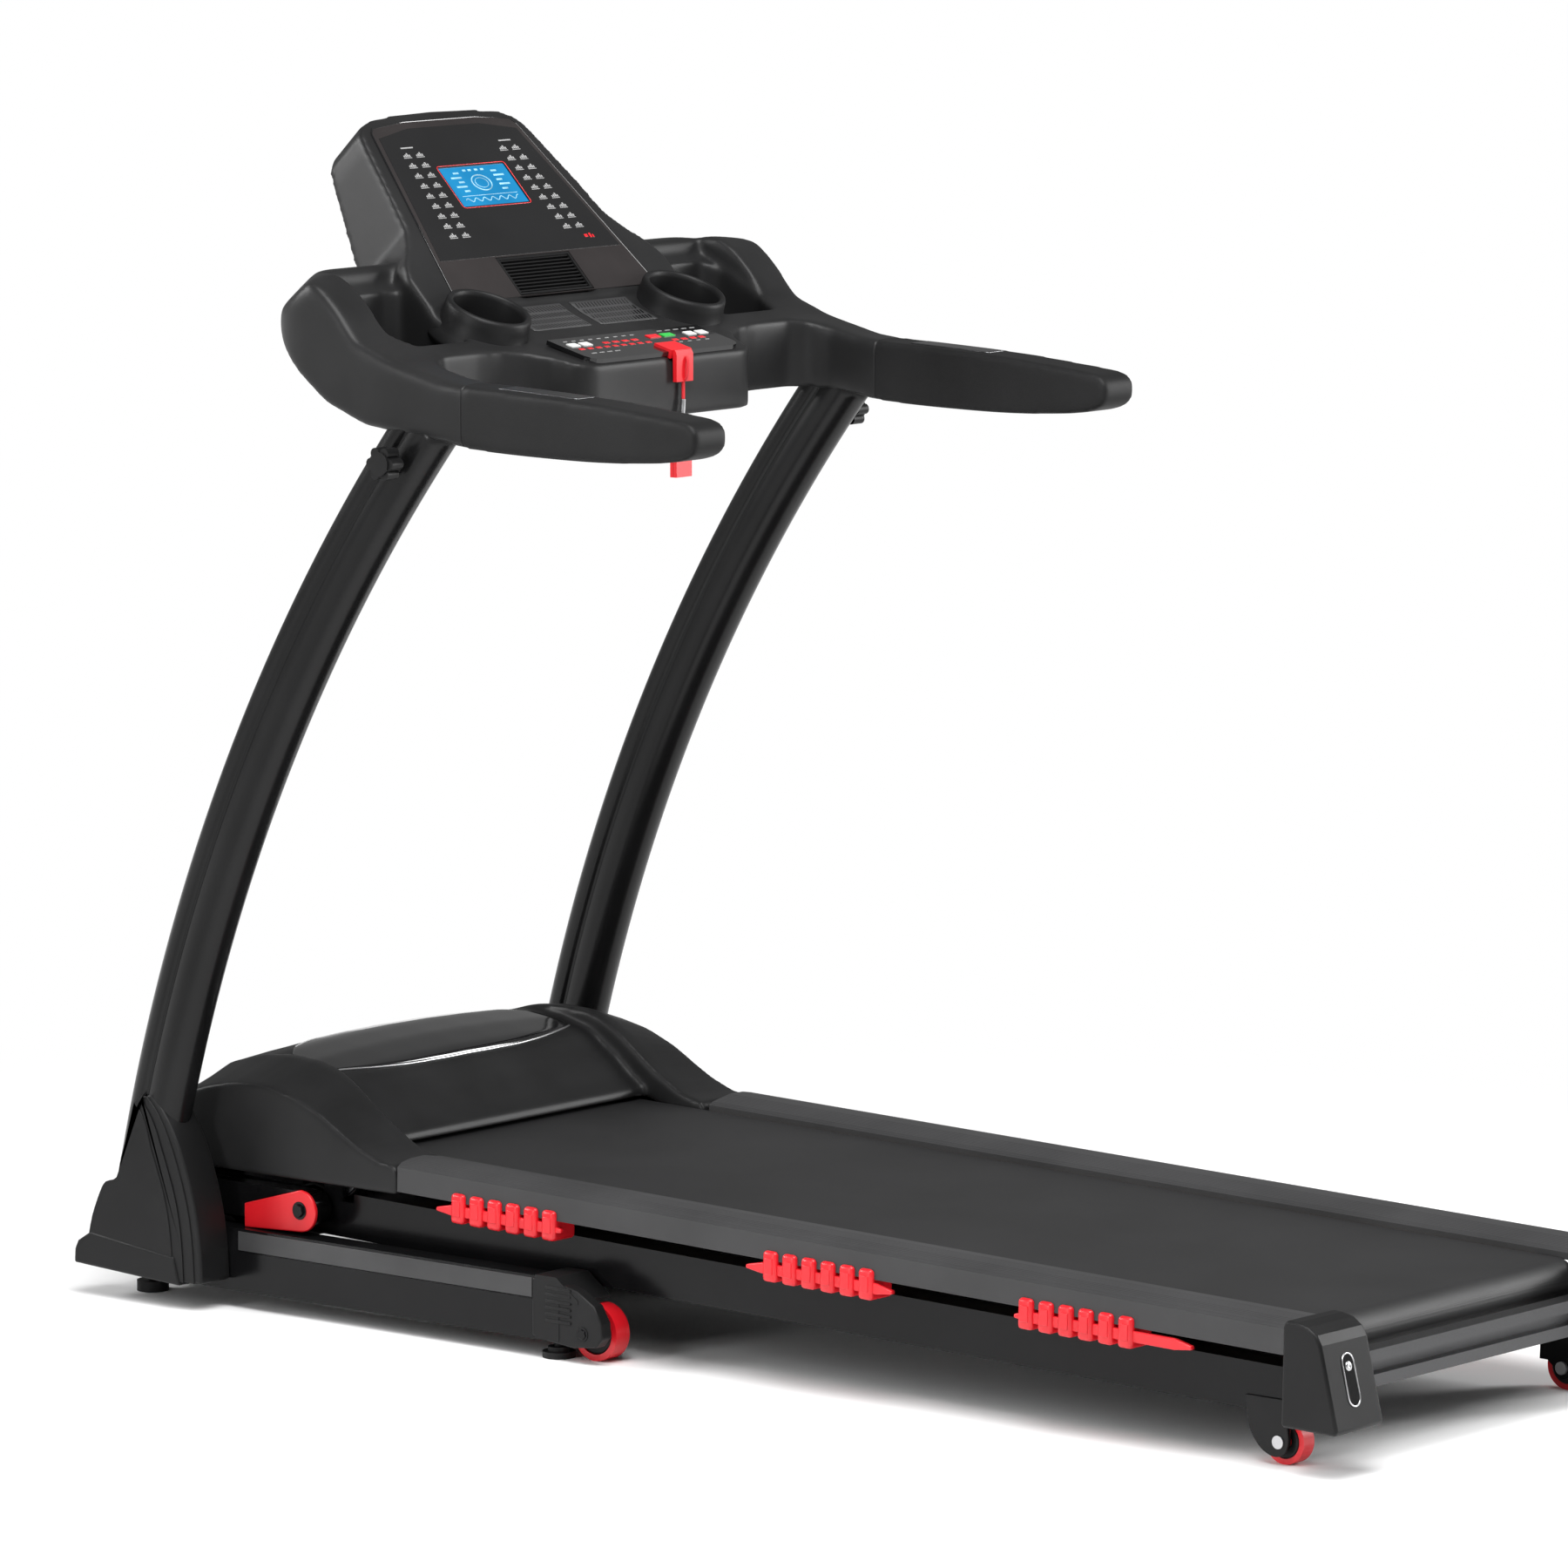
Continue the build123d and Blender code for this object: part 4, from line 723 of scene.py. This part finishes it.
def make_cups():
    """Cup holders with a thick slanted lip that flares into the tray deck."""
    profile = [(0.01, -60), (36, -60), (39, -57), (40, -52), (40.5, 2), (41.5, 6.5), (44, 8.5), (47, 7.5),
               (48.5, 4), (49, -4), (51, -14), (55, -23), (61, -31), (60, -36), (43.5, -38), (43, -62),
               (0.01, -64)]
    cups = [placed(lathe("cup", profile), cup_matrix(side)) for side in SIDES.values()]
    finish_piece(joined("cup_collars", cups), "black_plastic", "base", ["cup_holders"])


def flat_marks(name, boxes, low, high, matrix, material):
    """Many small flat rectangles (x0, x1, s0, s1) on one plane, as one piece."""
    parts = [prism(name, rectangle(*edges), "z", low, high) for edges in boxes]
    marks = placed(joined(name, parts), matrix)
    return finish_piece(marks, material, "base")


def make_panel_plate():
    """Tinted plate round the display and the vent, with the groove that frames it."""
    outline = mirrored([(168, -58), (157, 0), (121, 184), (114, 192), (60, 198)])
    panel = prism("panel_plate", outline, "z", -1.5, 0.9)
    cut(panel, prism("vent_hole", rectangle(*VENT), "z", -5, 5))
    cut(panel, prism("screen_hole", rectangle(*SCREEN), "z", -5, 5))
    finish_piece(placed(panel, panel_matrix()), "panel_bronze", "base")
    line = [(x, s, 0.3) for x, s in outline]
    groove = placed(tube_along("panel_groove", line, 1.1), panel_matrix())
    finish_piece(groove, "gloss_black_plastic", "base")


def program_icon(x, s):
    """Little bar chart over a base line, about 12 mm wide."""
    heights = (2.2, 3.6, 5.4, 3.0)
    bars = [(x - 5 + 3 * k, x - 3 + 3 * k, s, s + height) for k, height in enumerate(heights)]
    return bars + [(x - 6, x + 7, s - 1.8, s - 1.0)]


def make_display_marks():
    """Program icons in columns each side of the screen, heading dashes and the small red mark."""
    boxes = []
    for side in SIDES.values():
        for row in range(9):
            s = 148 - row * 14.6
            outer = 91 + 15 * row / 8
            for x in (outer, outer - 21):
                boxes += program_icon(side * x, s)
        boxes.append((side * 72, side * 92, 160, 161.6))
    flat_marks("program_icons", boxes, INK_LOW, INK_HIGH, panel_matrix(), "mark_white")
    red = [(112, 115, 14, 20), (117, 119, 14, 18), (104, 109, 15, 19)]
    flat_marks("corner_marks", red, INK_LOW, INK_HIGH, panel_matrix(), "red_key")


def screen_oval(name, across, up, steps, thick):
    """Oval line drawn on the glass."""
    line = [(across * x, SCREEN_MIDDLE + 4 + up * s, 0.6) for x, s in circle(1, steps)]
    return tube_along(name, line, thick, True)


def make_screen_lines():
    """Pale lines on the glass: two ovals, a wave and a rule."""
    ring = screen_oval("screen_ring", 15, 11, 40, 0.7)
    inner = screen_oval("screen_inner", 10, 7, 32, 0.35)
    crests = [(-44 + 2 * k, LCD_LOW + 9 + 2.6 * sin(k * 0.9), 0.6) for k in range(45)]
    wave = tube_along("screen_wave", crests, 0.5)
    rule = tube_along("screen_rule", [(-46, LCD_LOW + 15, 0.6), (46, LCD_LOW + 15, 0.6)], 0.3)
    graphics = placed(joined("screen_lines", [ring, inner, wave, rule]), panel_matrix())
    finish_piece(graphics, "screen_pale", "base")


def make_screen_bars():
    """Pale bars on the glass, in a column each side and a row along the top."""
    bars = []
    for side in SIDES.values():
        for row in range(5):
            s = LCD_HIGH - 10 - row * 6.5
            a, b = sorted((side * 27, side * (36 + 8 * (row % 2))))
            bars.append((a, b, s, s + 2.2))
    bars += [(x, x + 5, LCD_HIGH - 7, LCD_HIGH - 4.5) for x in (-18, -9, 2, 12)]
    flat_marks("screen_bars", bars, 0.4, 0.7, panel_matrix(), "screen_pale")


def make_screen_frame():
    """Thin red line round the glass, with rounded corners."""
    corner = 4.0
    across = LCD_HALF + 2 - corner
    up = (LCD_HIGH - LCD_LOW) / 2 + 2 - corner
    line = []
    for k, (x, s) in enumerate(((1, 1), (-1, 1), (-1, -1), (1, -1))):
        arc = [radians(90 * k + 22.5 * step) for step in range(5)]
        line += [(x * across + corner * cos(a), SCREEN_MIDDLE + s * up + corner * sin(a), 1.3) for a in arc]
    red_frame = placed(tube_along("screen_frame", line, 0.45, True), panel_matrix())
    finish_piece(red_frame, "red_key", "base")


def make_speakers(shell):
    """Two bands of slanted slots in the slope under the vent; each slot is a black sheet laid on the band,
    painted shade standing in for the opening.
    """
    bands = []
    verts = []
    faces = []
    for side in SIDES.values():
        rows = [[(side * (8 + 4 * i), 402 + 4.4 * k) for i in range(25)] for k in range(12)]
        bands.append(laid_on("speaker_band", shell, rows, 0.3, 0.8))
        # The slots are black quads on the band, not holes: painted shade where the openings would be.
        for row in range(4):
            for k in range(17):
                x = side * (12 + k * 5.2)
                y = 405 + row * 11.5
                lean = side * 2.4
                corners = [(x, y), (x + 2.4, y), (x + lean + 2.4, y + 8), (x + lean, y + 8)]
                faces.append(tuple(range(len(verts), len(verts) + 4)))
                verts += [on_surface(shell, a, b, 0.95) for a, b in corners]
    slot_shade = mesh_object("speaker_slot_shade", verts, faces, smooth=False)
    finish_piece(joined("speaker_bands", bands), "band_grey", "base")
    finish_piece(slot_shade, "gloss_black_plastic", "base")


def make_keypad_plate():
    """Gloss keypad with rounded corners and an opening round every key."""
    outline = mirrored([(126, 35.5), (126, -20), (123.5, -27), (118, -32), (110, -34.5)])
    plate = prism("keypad_plate", outline, "z", -3, 2)
    back = keypad_matrix().inverted()
    gaps = [(-0.4, 34.4, -40, -11.6)]
    for key in KEYS:
        corners = [back @ (NODES[key].matrix_world @ v.co) / MM for v in NODES[key].data.vertices]
        across = [c.x for c in corners]
        along = [c.y for c in corners]
        gaps.append((min(across) - 0.3, max(across) + 0.3, min(along) - 0.3, max(along) + 0.3))
    for gap in gaps:
        cut(plate, prism("key_gap", rectangle(*gap), "z", -6, 6))
    finish_piece(placed(plate, keypad_matrix()), "gloss_black_plastic", "base", ["keypad"])


def mark_row(count, start, pitch, width, low, high):
    """Marks of one size, evenly spaced along a row."""
    return [(start + k * pitch, start + k * pitch + width, low, high) for k in range(count)]


def make_keypad_marks():
    """Coloured touch marks on the keypad, in rows, with no lettering."""
    reds = mark_row(9, -112, 14, 8, -3, 1.5) + mark_row(4, -60, 16, 10, 8, 13) + mark_row(4, 44, 15, 9, -4, 1)
    whites = mark_row(9, -111, 14, 6, 24, 25.6) + mark_row(4, -108, 13, 8, -16, -14.6)
    whites += mark_row(4, 46, 15, 6, -10, -8.8) + mark_row(5, 50, 14, 8, 27, 28.4)
    flat_marks("keypad_red_marks", reds, 2.0, 2.3, keypad_matrix(), "red_key")
    flat_marks("keypad_white_marks", whites, 2.0, 2.3, keypad_matrix(), "mark_white")


def make_lanyard():
    """Red cord of the safety key, with the sleeve crimped on it and its start fixed to the key's face."""
    curve = bpy.data.curves.new("safety_lanyard", "CURVE")
    curve.dimensions = "3D"
    spline = curve.splines.new("NURBS")
    spline.points.add(len(CORD_ROUTE) - 1)
    for point, place in zip(spline.points, CORD_ROUTE):
        point.co = (*place, 1)
    spline.order_u = 3
    spline.use_endpoint_u = True
    lanyard = add_object("safety_lanyard", curve)
    line = evaluated_mesh(lanyard)
    held = [tuple(v.co / MM) for v in line.vertices if SLEEVE_LOW < v.co.z < SLEEVE_HIGH]
    curve.bevel_depth = CORD_R
    curve.bevel_resolution = 4
    curve.use_fill_caps = True
    sleeve = finish_piece(tube_along("lanyard_sleeve", held, 2.7), "satin_silver", "safety_key")
    loop = [(17, 291.5, 1031), (17.4, 287.4, 1035), (18.2, 286.3, 1044), (19, 286.6, 1053),
            (19.4, 288.8, 1058)]
    finish_piece(tube_along("key_loop", curved(loop, 5), 1.9), "cord_weave", "safety_key")
    finish_piece(lanyard, "cord_weave", "safety_key", ["safety_cord"])


# ======== uprights and base
def upright_section():
    """Oval tube section (x, outwards from the arc's centre) with a long flute in each flat side."""
    flute = [(24, -14), (24, 1), (22.4, 2.6), (22.0, 5), (22.4, 7.4), (24, 9), (24, 14)]
    cap = circle(24, 24, (0, 14))[1:12]
    far = [(-x, r) for x, r in reversed(flute)]
    return flute + cap + far + [(x, -r) for x, r in reversed(cap)]


def make_upright(name, side):
    """Curved oval upright swept round its large arc."""
    section = upright_section()
    start = asin((UPRIGHT_Z0 - ARC_Z) / ARC_R)
    end = asin((UPRIGHT_Z1 - ARC_Z) / ARC_R)
    steps = 72
    rings = []
    for i in range(steps + 1):
        a = start + (end - start) * i / steps
        rings.append([(side * UPRIGHT_X + x, ARC_Y + (ARC_R + r) * cos(a), ARC_Z + (ARC_R + r) * sin(a))
                      for x, r in section])
    obj = skinned(f"upright_tube_{name}", rings, True)
    finish_piece(obj, "satin_graphite_steel", "base", [f"upright_{name}"])


def cover_edge(step):
    """Side outline (y, z) of an upright cover, its rear edge moved forward by step."""
    rear = [(736, 239), (722, 226), (708, 208), (695, 186), (684, 160), (674, 130), (667, 100), (663, 68),
            (661, 32)]
    front = [(833, 40), (831, 62), (824, 92), (812, 120), (803, 133), (786, 140), (778, 166), (766, 196),
             (755, 222), (743, 239)]
    moved = []
    for y, z in rear:
        forward = step * (1.0 - 0.5 * max(0, z - 180) / 60)
        down = step * 0.3 * max(0, z - 120) / 120
        moved.append((y + forward, z - down))
    return curved(moved, 4) + curved(front, 3)[:-1]


def make_upright_cover(name, side):
    """Moulded shell round an upright's foot, stepped along its rear edge."""
    body = prism(f"foot_cover_{name}", cover_edge(0), "x", side * COVER_IN_X, side * (COVER_OUT_X - 5))
    layers = [bevelled(body, 4.0, 3)]
    for k in range(3):
        low = side * (COVER_OUT_X - 6)
        high = side * (COVER_OUT_X - 3.6 + k * 1.2)
        step = 10 + k * 15
        layers.append(bevelled(prism("step", cover_edge(step), "x", low, high), 0.9, 2))
    skirt = [(690, 28), (Y_FRONT, 36), (Y_FRONT - 1, 52), (Y_FRONT - 6, 62), (826, 74), (700, 60)]
    layers.append(bevelled(prism("skirt", skirt, "x", side * COVER_IN_X, side * COVER_OUT_X), 3.0, 3))
    finish_piece(joined(f"foot_cover_{name}", layers), "black_plastic", "base")


def make_cap_cheek(name, side):
    """Ribbed cheek beside the transport wheel, with its bolt."""
    outline = [(216, 24), (216, 88), (186, 88), (152, 80), (128, 66), (117, 48), (116, 32), (125, 21),
               (160, 17), (190, 20)]
    parts = [bevelled(prism("cheek", outline, "x", side * 311, side * 327.5), 2.0, 2)]
    low, high = sorted((side * 326.5, side * 329))
    for k in range(6):
        z = 42 + k * 7.2
        parts.append(block("rib", (low, 160, z), (high, 196, z + 3.4), 0.9))
    finish_piece(joined(f"cap_cheek_{name}", parts), "black_plastic", "base")
    bolt = hex_bolt(f"cheek_bolt_{name}", (side * 327, 144, 34), side, 6.0, 2.5)
    finish_piece(bolt, "gloss_black_steel", "base")


def make_tube_band(name, side):
    """Paler band along the upper edge of a base tube."""
    low, high = sorted((side * 325.6, side * 326.6))
    band = block(f"tube_band_{name}", (low, 217, 66), (high, 650, 87.5), 0.4)
    finish_piece(band, "band_grey", "base")


def make_arm_cover(name, side):
    """Tapered red cover on an incline arm, with the bolt in its eye."""
    eye = curved([(576, 139), (565, 136), (557, 128), (553, 116), (556, 103), (564, 95), (574, 92)], 4)
    outline = eye + [(660, 88), (660, 115)]
    cover = bevelled(prism(f"arm_cover_{name}", outline, "x", side * 300.5, side * 305.5), 1.5, 3)
    finish_piece(cover, "red_plastic", "incline_arms")
    x, y, z = ARM_PIN
    bolt = hex_bolt(f"arm_bolt_{name}", (side * x, y, z), side, 7.5, 4.5)
    finish_piece(bolt, "gloss_black_steel", "incline_arms")


def make_wheel_hub(wheel, side, middle, inner, outer):
    """Raised disc on both faces of a wheel."""
    x, y, z = middle
    profile = [(inner, 0), (outer, 0), (outer, 3.2), (outer - 2, 4.0), (inner + 3, 2.2), (inner, 3)]
    discs = []
    for s in (-1, 1):
        place = shift(side * x + s * 6.2, y, z) @ turned(s * pi / 2, "Y")
        discs.append(placed(lathe("hub", profile), place))
    name = wheel.replace("wheel", "wheel_hub")
    finish_piece(joined(name, discs), "black_plastic", wheel)


# ======== motor hood
def resampled(points, count):
    """The same line with count points, evenly spaced along it."""
    lengths = [0.0]
    for a, b in zip(points, points[1:]):
        lengths.append(lengths[-1] + hypot(b[0] - a[0], b[1] - a[1]))
    line = []
    for i in range(count):
        want = lengths[-1] * i / (count - 1)
        k = max(j for j in range(len(points) - 1) if lengths[j] <= want + 1e-9)
        t = (want - lengths[k]) / (lengths[k + 1] - lengths[k])
        line.append(tuple(points[k][c] + t * (points[k + 1][c] - points[k][c]) for c in (0, 1)))
    return line


def middle_section(x, middle):
    """The hood's middle outline at x, its crown falling a little towards the shoulders."""
    return resampled([(y, z - 10 * (z > 240) * (x / 236) ** 2) for y, z in middle], 40)


def hood_form():
    """The motor hood, hollow underneath: a crowned middle between two raised shoulders."""
    outer = [(433, 150), (433, 181), (460, 185), (491, 196), (510, 206), (548, 227), (587, 242), (632, 251),
             (677, 249), (716, 241), (760, 227), (783, 205), (789, 170), (789, 150)]
    crease = [(436, 150), (436, 182), (462, 187), (475, 192), (513, 213), (538, 231), (564, 250), (589, 264),
              (615, 271), (660, 273), (700, 269), (745, 256), (783, 214), (789, 150)]
    middle = [(524, 150), (524, 190), (540, 200), (566, 222), (588, 244), (596, 252), (610, 259), (650, 269),
              (700, 274), (740, 268), (765, 250), (783, 218), (789, 180), (789, 150)]
    form = loft("hood_form", [(x, middle_section(x, middle)) for x in range(-236, 237, 59)])
    for side in SIDES.values():
        shoulder = [(side * 222, resampled(crease, 40)), (side * 238, resampled(crease, 40)),
                    (side * (HOOD_SIDE - 0.5), resampled(outer, 40))]
        combine(form, loft("shoulder_form", shoulder), "UNION")
    room = [(486, 140), (486, 168), (545, 188), (600, 226), (700, 236), (752, 220), (770, 190), (775, 140)]
    return cut(form, prism("room_form", room, "x", HOOD_WALL - HOOD_SIDE, HOOD_SIDE - HOOD_WALL))


def inlay_rows():
    """Plan places of the hood's gloss inlay, narrowing towards both ends."""
    rows = []
    for i in range(25):
        row = []
        for k in range(61):
            x = -INLAY_HALF + 2 * INLAY_HALF * k / 60
            narrowing = (x / INLAY_HALF) ** 2
            low = 598 + 26 * narrowing ** 1.6
            high = 742 - 64 * narrowing ** 1.6
            row.append((x, low + (high - low) * i / 24))
        rows.append(row)
    return rows


def make_hood():
    """Motor hood with its gloss inlay, the bright lip under it and the front skirt."""
    hood = soften(hood_form(), 3.2, 9)
    hood.name = "hood_shell"
    bpy.context.view_layer.update()
    rows = inlay_rows()
    inlay = laid_on("hood_inlay", hood, rows, 0.8, 1.4)
    lip = tube_along("hood_lip", [on_surface(hood, x, y - 1.0, 0.6) for x, y in rows[0]], 1.3)
    skirt = block("hood_skirt", (-274, 784, 122), (274, 788, 152), 0.8)
    cut(skirt, prism("inlet_hole", rectangle(-262.3, -213.7, 125.7, 150.3), "y", 780, 795))
    finish_piece(joined("hood_shell", [hood, skirt]), "grey_plastic", "deck", ["motor_hood"])
    finish_piece(inlay, "gloss_black_plastic", "deck", ["hood_insert"])
    finish_piece(lip, "satin_silver", "deck")


# ======== deck
def cushion_row(side, middle, tail):
    """One carrier strip with its domed blocks, in the deck's own frame."""
    front = middle + tail[0]
    rear = middle - tail[1]
    strip = [(front, -34), (front - 22, -37), (rear + 22, -37), (rear, -34), (rear, -30), (rear + 22, -25),
             (front - 22, -25), (front, -30)]
    parts = [bevelled(prism("strip", strip, "x", side * 300, side * 306.5), 1.2, 2)]
    block_in, block_out = sorted((side * 272, side * 310))
    dome_in, dome_out = sorted((side * 309, side * 311.2))
    for i in range(BLOCKS_PER_ROW):
        v = middle + (i - (BLOCKS_PER_ROW - 1) / 2) * CUSHION_PITCH
        parts.append(block("cushion", (block_in, v - 9.6, -44.5), (block_out, v + 9.6, -11.0), 4.6))
        parts.append(block("dome", (dome_in, v - 5.6, -36), (dome_out, v + 5.6, -18), 1.9))
    return joined("row", parts)


def make_cushions():
    """Domed elastomer blocks on slim carriers that taper to a tail."""
    rows = [cushion_row(side, middle, tail) for side in SIDES.values()
            for middle, tail in zip(CUSHION_MIDDLES, CUSHION_TAILS)]
    finish_piece(placed(joined("cushion_blocks", rows), deck_matrix()), "red_rubber", "deck", ["cushions"])


def make_rear_cap(name, side):
    """Corner cap whose rear face leans forward."""
    outline = [(-850, -96), (CAP_REAR, -90), (-829, -5), (-823, 5), (-812, 12), (-798, 15), (-784, 15.5),
               (-781, 8), (-781, -94), (-784, -96)]
    low, high = CORNER_CAP
    cap = bevelled(prism(f"rear_cap_{name}", outline, "x", side * low, side * high), 4.5, 4)
    finish_piece(placed(cap, deck_matrix()), "black_plastic", "deck")


def make_adjuster(name, side):
    """Slot in a corner cap's leaning face, the ring round it and the belt bolt inside."""
    place = deck_matrix() @ shift(side * ADJUSTER_X, CAP_REAR, -90) @ turned(CAP_LEAN, "X")
    middle = 48
    well = prism(f"adjuster_slot_{name}", [(x, s + middle) for x, s in stadium(9, 27)], "y", -0.2, 3)
    finish_piece(placed(well, place), "gloss_black_plastic", "deck")
    line = [(x, -0.2, s + middle) for x, s in stadium(9.6, 27.6)]
    finish_piece(placed(tube_along(f"adjuster_ring_{name}", line, 0.9, True), place), "satin_silver", "deck")
    profile = [(0.01, 0), (5.0, 0), (5.0, 3.5), (4.2, 4.4), (0.01, 4.4)]
    bolt = placed(lathe(f"adjuster_bolt_{name}", profile, 24), place @ shift(0, 3, 62) @ turned(pi / 2, "X"))
    finish_piece(bolt, "satin_silver", "deck")


def make_fork_cheek(name, side):
    """Rounded outer cheek of a rear wheel's fork."""
    lobe = curved([(-708, 50), (-713, 32), (-726, 16), (-742, 9), (-756, 13), (-761, 27), (-758, 50)], 4)
    outline = lobe + [(-754, 70), (-706, 70)]
    cheek = prism(f"fork_cheek_{name}", outline, "x", side * 268.4, side * 270.6)
    finish_piece(bevelled(cheek, 0.8, 2), "black_plastic", "deck")


# ======== stage
def make_camera():
    """Camera at the viewpoint, with its line of sight turned to the wanted angle."""
    data = bpy.data.cameras.new("view_camera")
    data.lens = CAMERA_LENS
    data.sensor_width = 36.0
    data.clip_start = 0.1
    data.clip_end = 100.0
    cam = add_object("view_camera", data)
    back = Vector((sin(CAMERA_AZIMUTH) * cos(CAMERA_RISE), -cos(CAMERA_AZIMUTH) * cos(CAMERA_RISE),
                   sin(CAMERA_RISE)))
    cam.location = CAMERA_AT
    cam.rotation_mode = "QUATERNION"
    cam.rotation_quaternion = (-back).to_track_quat("-Z", "Y")
    bpy.context.scene.camera = cam


def make_light(name, at, aim, size, power):
    """One rectangular soft box aimed at a point."""
    data = bpy.data.lights.new(name, "AREA")
    data.shape = "RECTANGLE"
    data.size = size[0]
    data.size_y = size[1]
    data.energy = power
    light = add_object(name, data)
    light.location = at
    light.rotation_mode = "QUATERNION"
    light.rotation_quaternion = (Vector(aim) - Vector(at)).to_track_quat("-Z", "Y")


def blended(tree, fac, first, second, target):
    """Two shaders mixed by a grey value, into a target input."""
    mix = tree.nodes.new("ShaderNodeMixShader")
    tree.links.new(fac, mix.inputs["Fac"])
    tree.links.new(first, mix.inputs[1])
    tree.links.new(second, mix.inputs[2])
    tree.links.new(mix.outputs["Shader"], target)


def make_world():
    """White surroundings, brighter to the camera than to the machine."""
    world = bpy.data.worlds.new("studio")
    world.use_nodes = True
    tree = world.node_tree
    plain = tree.nodes["Background"]
    seen = tree.nodes.new("ShaderNodeBackground")
    for background, strength in ((plain, 0.22), (seen, 1.0)):
        background.inputs["Color"].default_value = (1, 1, 1, 1)
        background.inputs["Strength"].default_value = strength
    ray = tree.nodes.new("ShaderNodeLightPath")
    blended(tree, ray.outputs["Is Camera Ray"], plain.outputs["Background"], seen.outputs["Background"],
            tree.nodes["World Output"].inputs["Surface"])
    bpy.context.scene.world = world


def make_floor():
    """Pale floor that fades into the white surroundings."""
    mesh = bpy.data.meshes.new("studio_floor")
    mesh.from_pydata([(x, y, 0) for x, y in rectangle(-40, 40, -40, 40)], [], [(0, 1, 2, 3)])
    floor = add_object("studio_floor", mesh)
    mat, tree, shader = new_material("pale_floor")
    cloud = noise(tree, coordinates(tree), 0.8, 2.0)
    tree.links.new(ramp(tree, cloud, (0.92, 0.92, 0.92), (0.94, 0.94, 0.94)), shader.inputs["Base Color"])
    shader.inputs["Roughness"].default_value = 0.6
    distance = tree.nodes.new("ShaderNodeVectorMath")
    distance.operation = "LENGTH"
    tree.links.new(coordinates(tree, scale=(1.25, 1, 1)), distance.inputs[0])
    fade = tree.nodes.new("ShaderNodeMapRange")
    fade.interpolation_type = "SMOOTHSTEP"
    fade.inputs["From Min"].default_value = 1.1
    fade.inputs["From Max"].default_value = 2.3
    tree.links.new(distance.outputs["Value"], fade.inputs["Value"])
    glow = tree.nodes.new("ShaderNodeEmission")
    blended(tree, fade.outputs["Result"], shader.outputs["BSDF"], glow.outputs["Emission"],
            tree.nodes["Material Output"].inputs["Surface"])
    mesh.materials.append(mat)


def make_stage():
    """White surroundings, a pale floor and four soft boxes."""
    bpy.context.scene.view_settings.view_transform = "Standard"
    make_world()
    make_floor()
    make_light("key_box", (-1.2, -1.2, 4.0), (0, 0, 0.4), (2.8, 2.8), 250)
    make_light("side_box", (3.6, -2.4, 1.8), (0, 0.3, 0.7), (0.9, 2.6), 150)
    make_light("back_box", (-2.2, 4.2, 2.6), (0, 0.2, 0.7), (2.6, 1.0), 130)
    make_light("edge_box", (-4.2, 0.6, 1.6), (0, 0.3, 0.6), (0.5, 2.4), 60)


paint_cad_nodes()
make_camera()
make_lanyard()
shell = make_console()
bpy.context.view_layer.update()
make_cups()
make_panel_plate()
make_display_marks()
make_screen_lines()
make_screen_bars()
make_screen_frame()
make_speakers(shell)
make_keypad_plate()
make_keypad_marks()
make_hood()
make_cushions()
for name, side in SIDES.items():
    make_upright(name, side)
    make_upright_cover(name, side)
    make_cap_cheek(name, side)
    make_tube_band(name, side)
    make_arm_cover(name, side)
    make_wheel_hub(f"transport_wheel_{name}", side, (289.0, 150.0, 31.0), 9.0, 23.5)
    make_wheel_hub(f"rear_wheel_{name}", side, (251.0, -748.5, 25.0), 7.5, 18.5)
    make_rear_cap(name, side)
    make_adjuster(name, side)
    make_fork_cheek(name, side)
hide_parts("upright_covers")
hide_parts("arm_covers")
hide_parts("rear_caps")
make_stage()
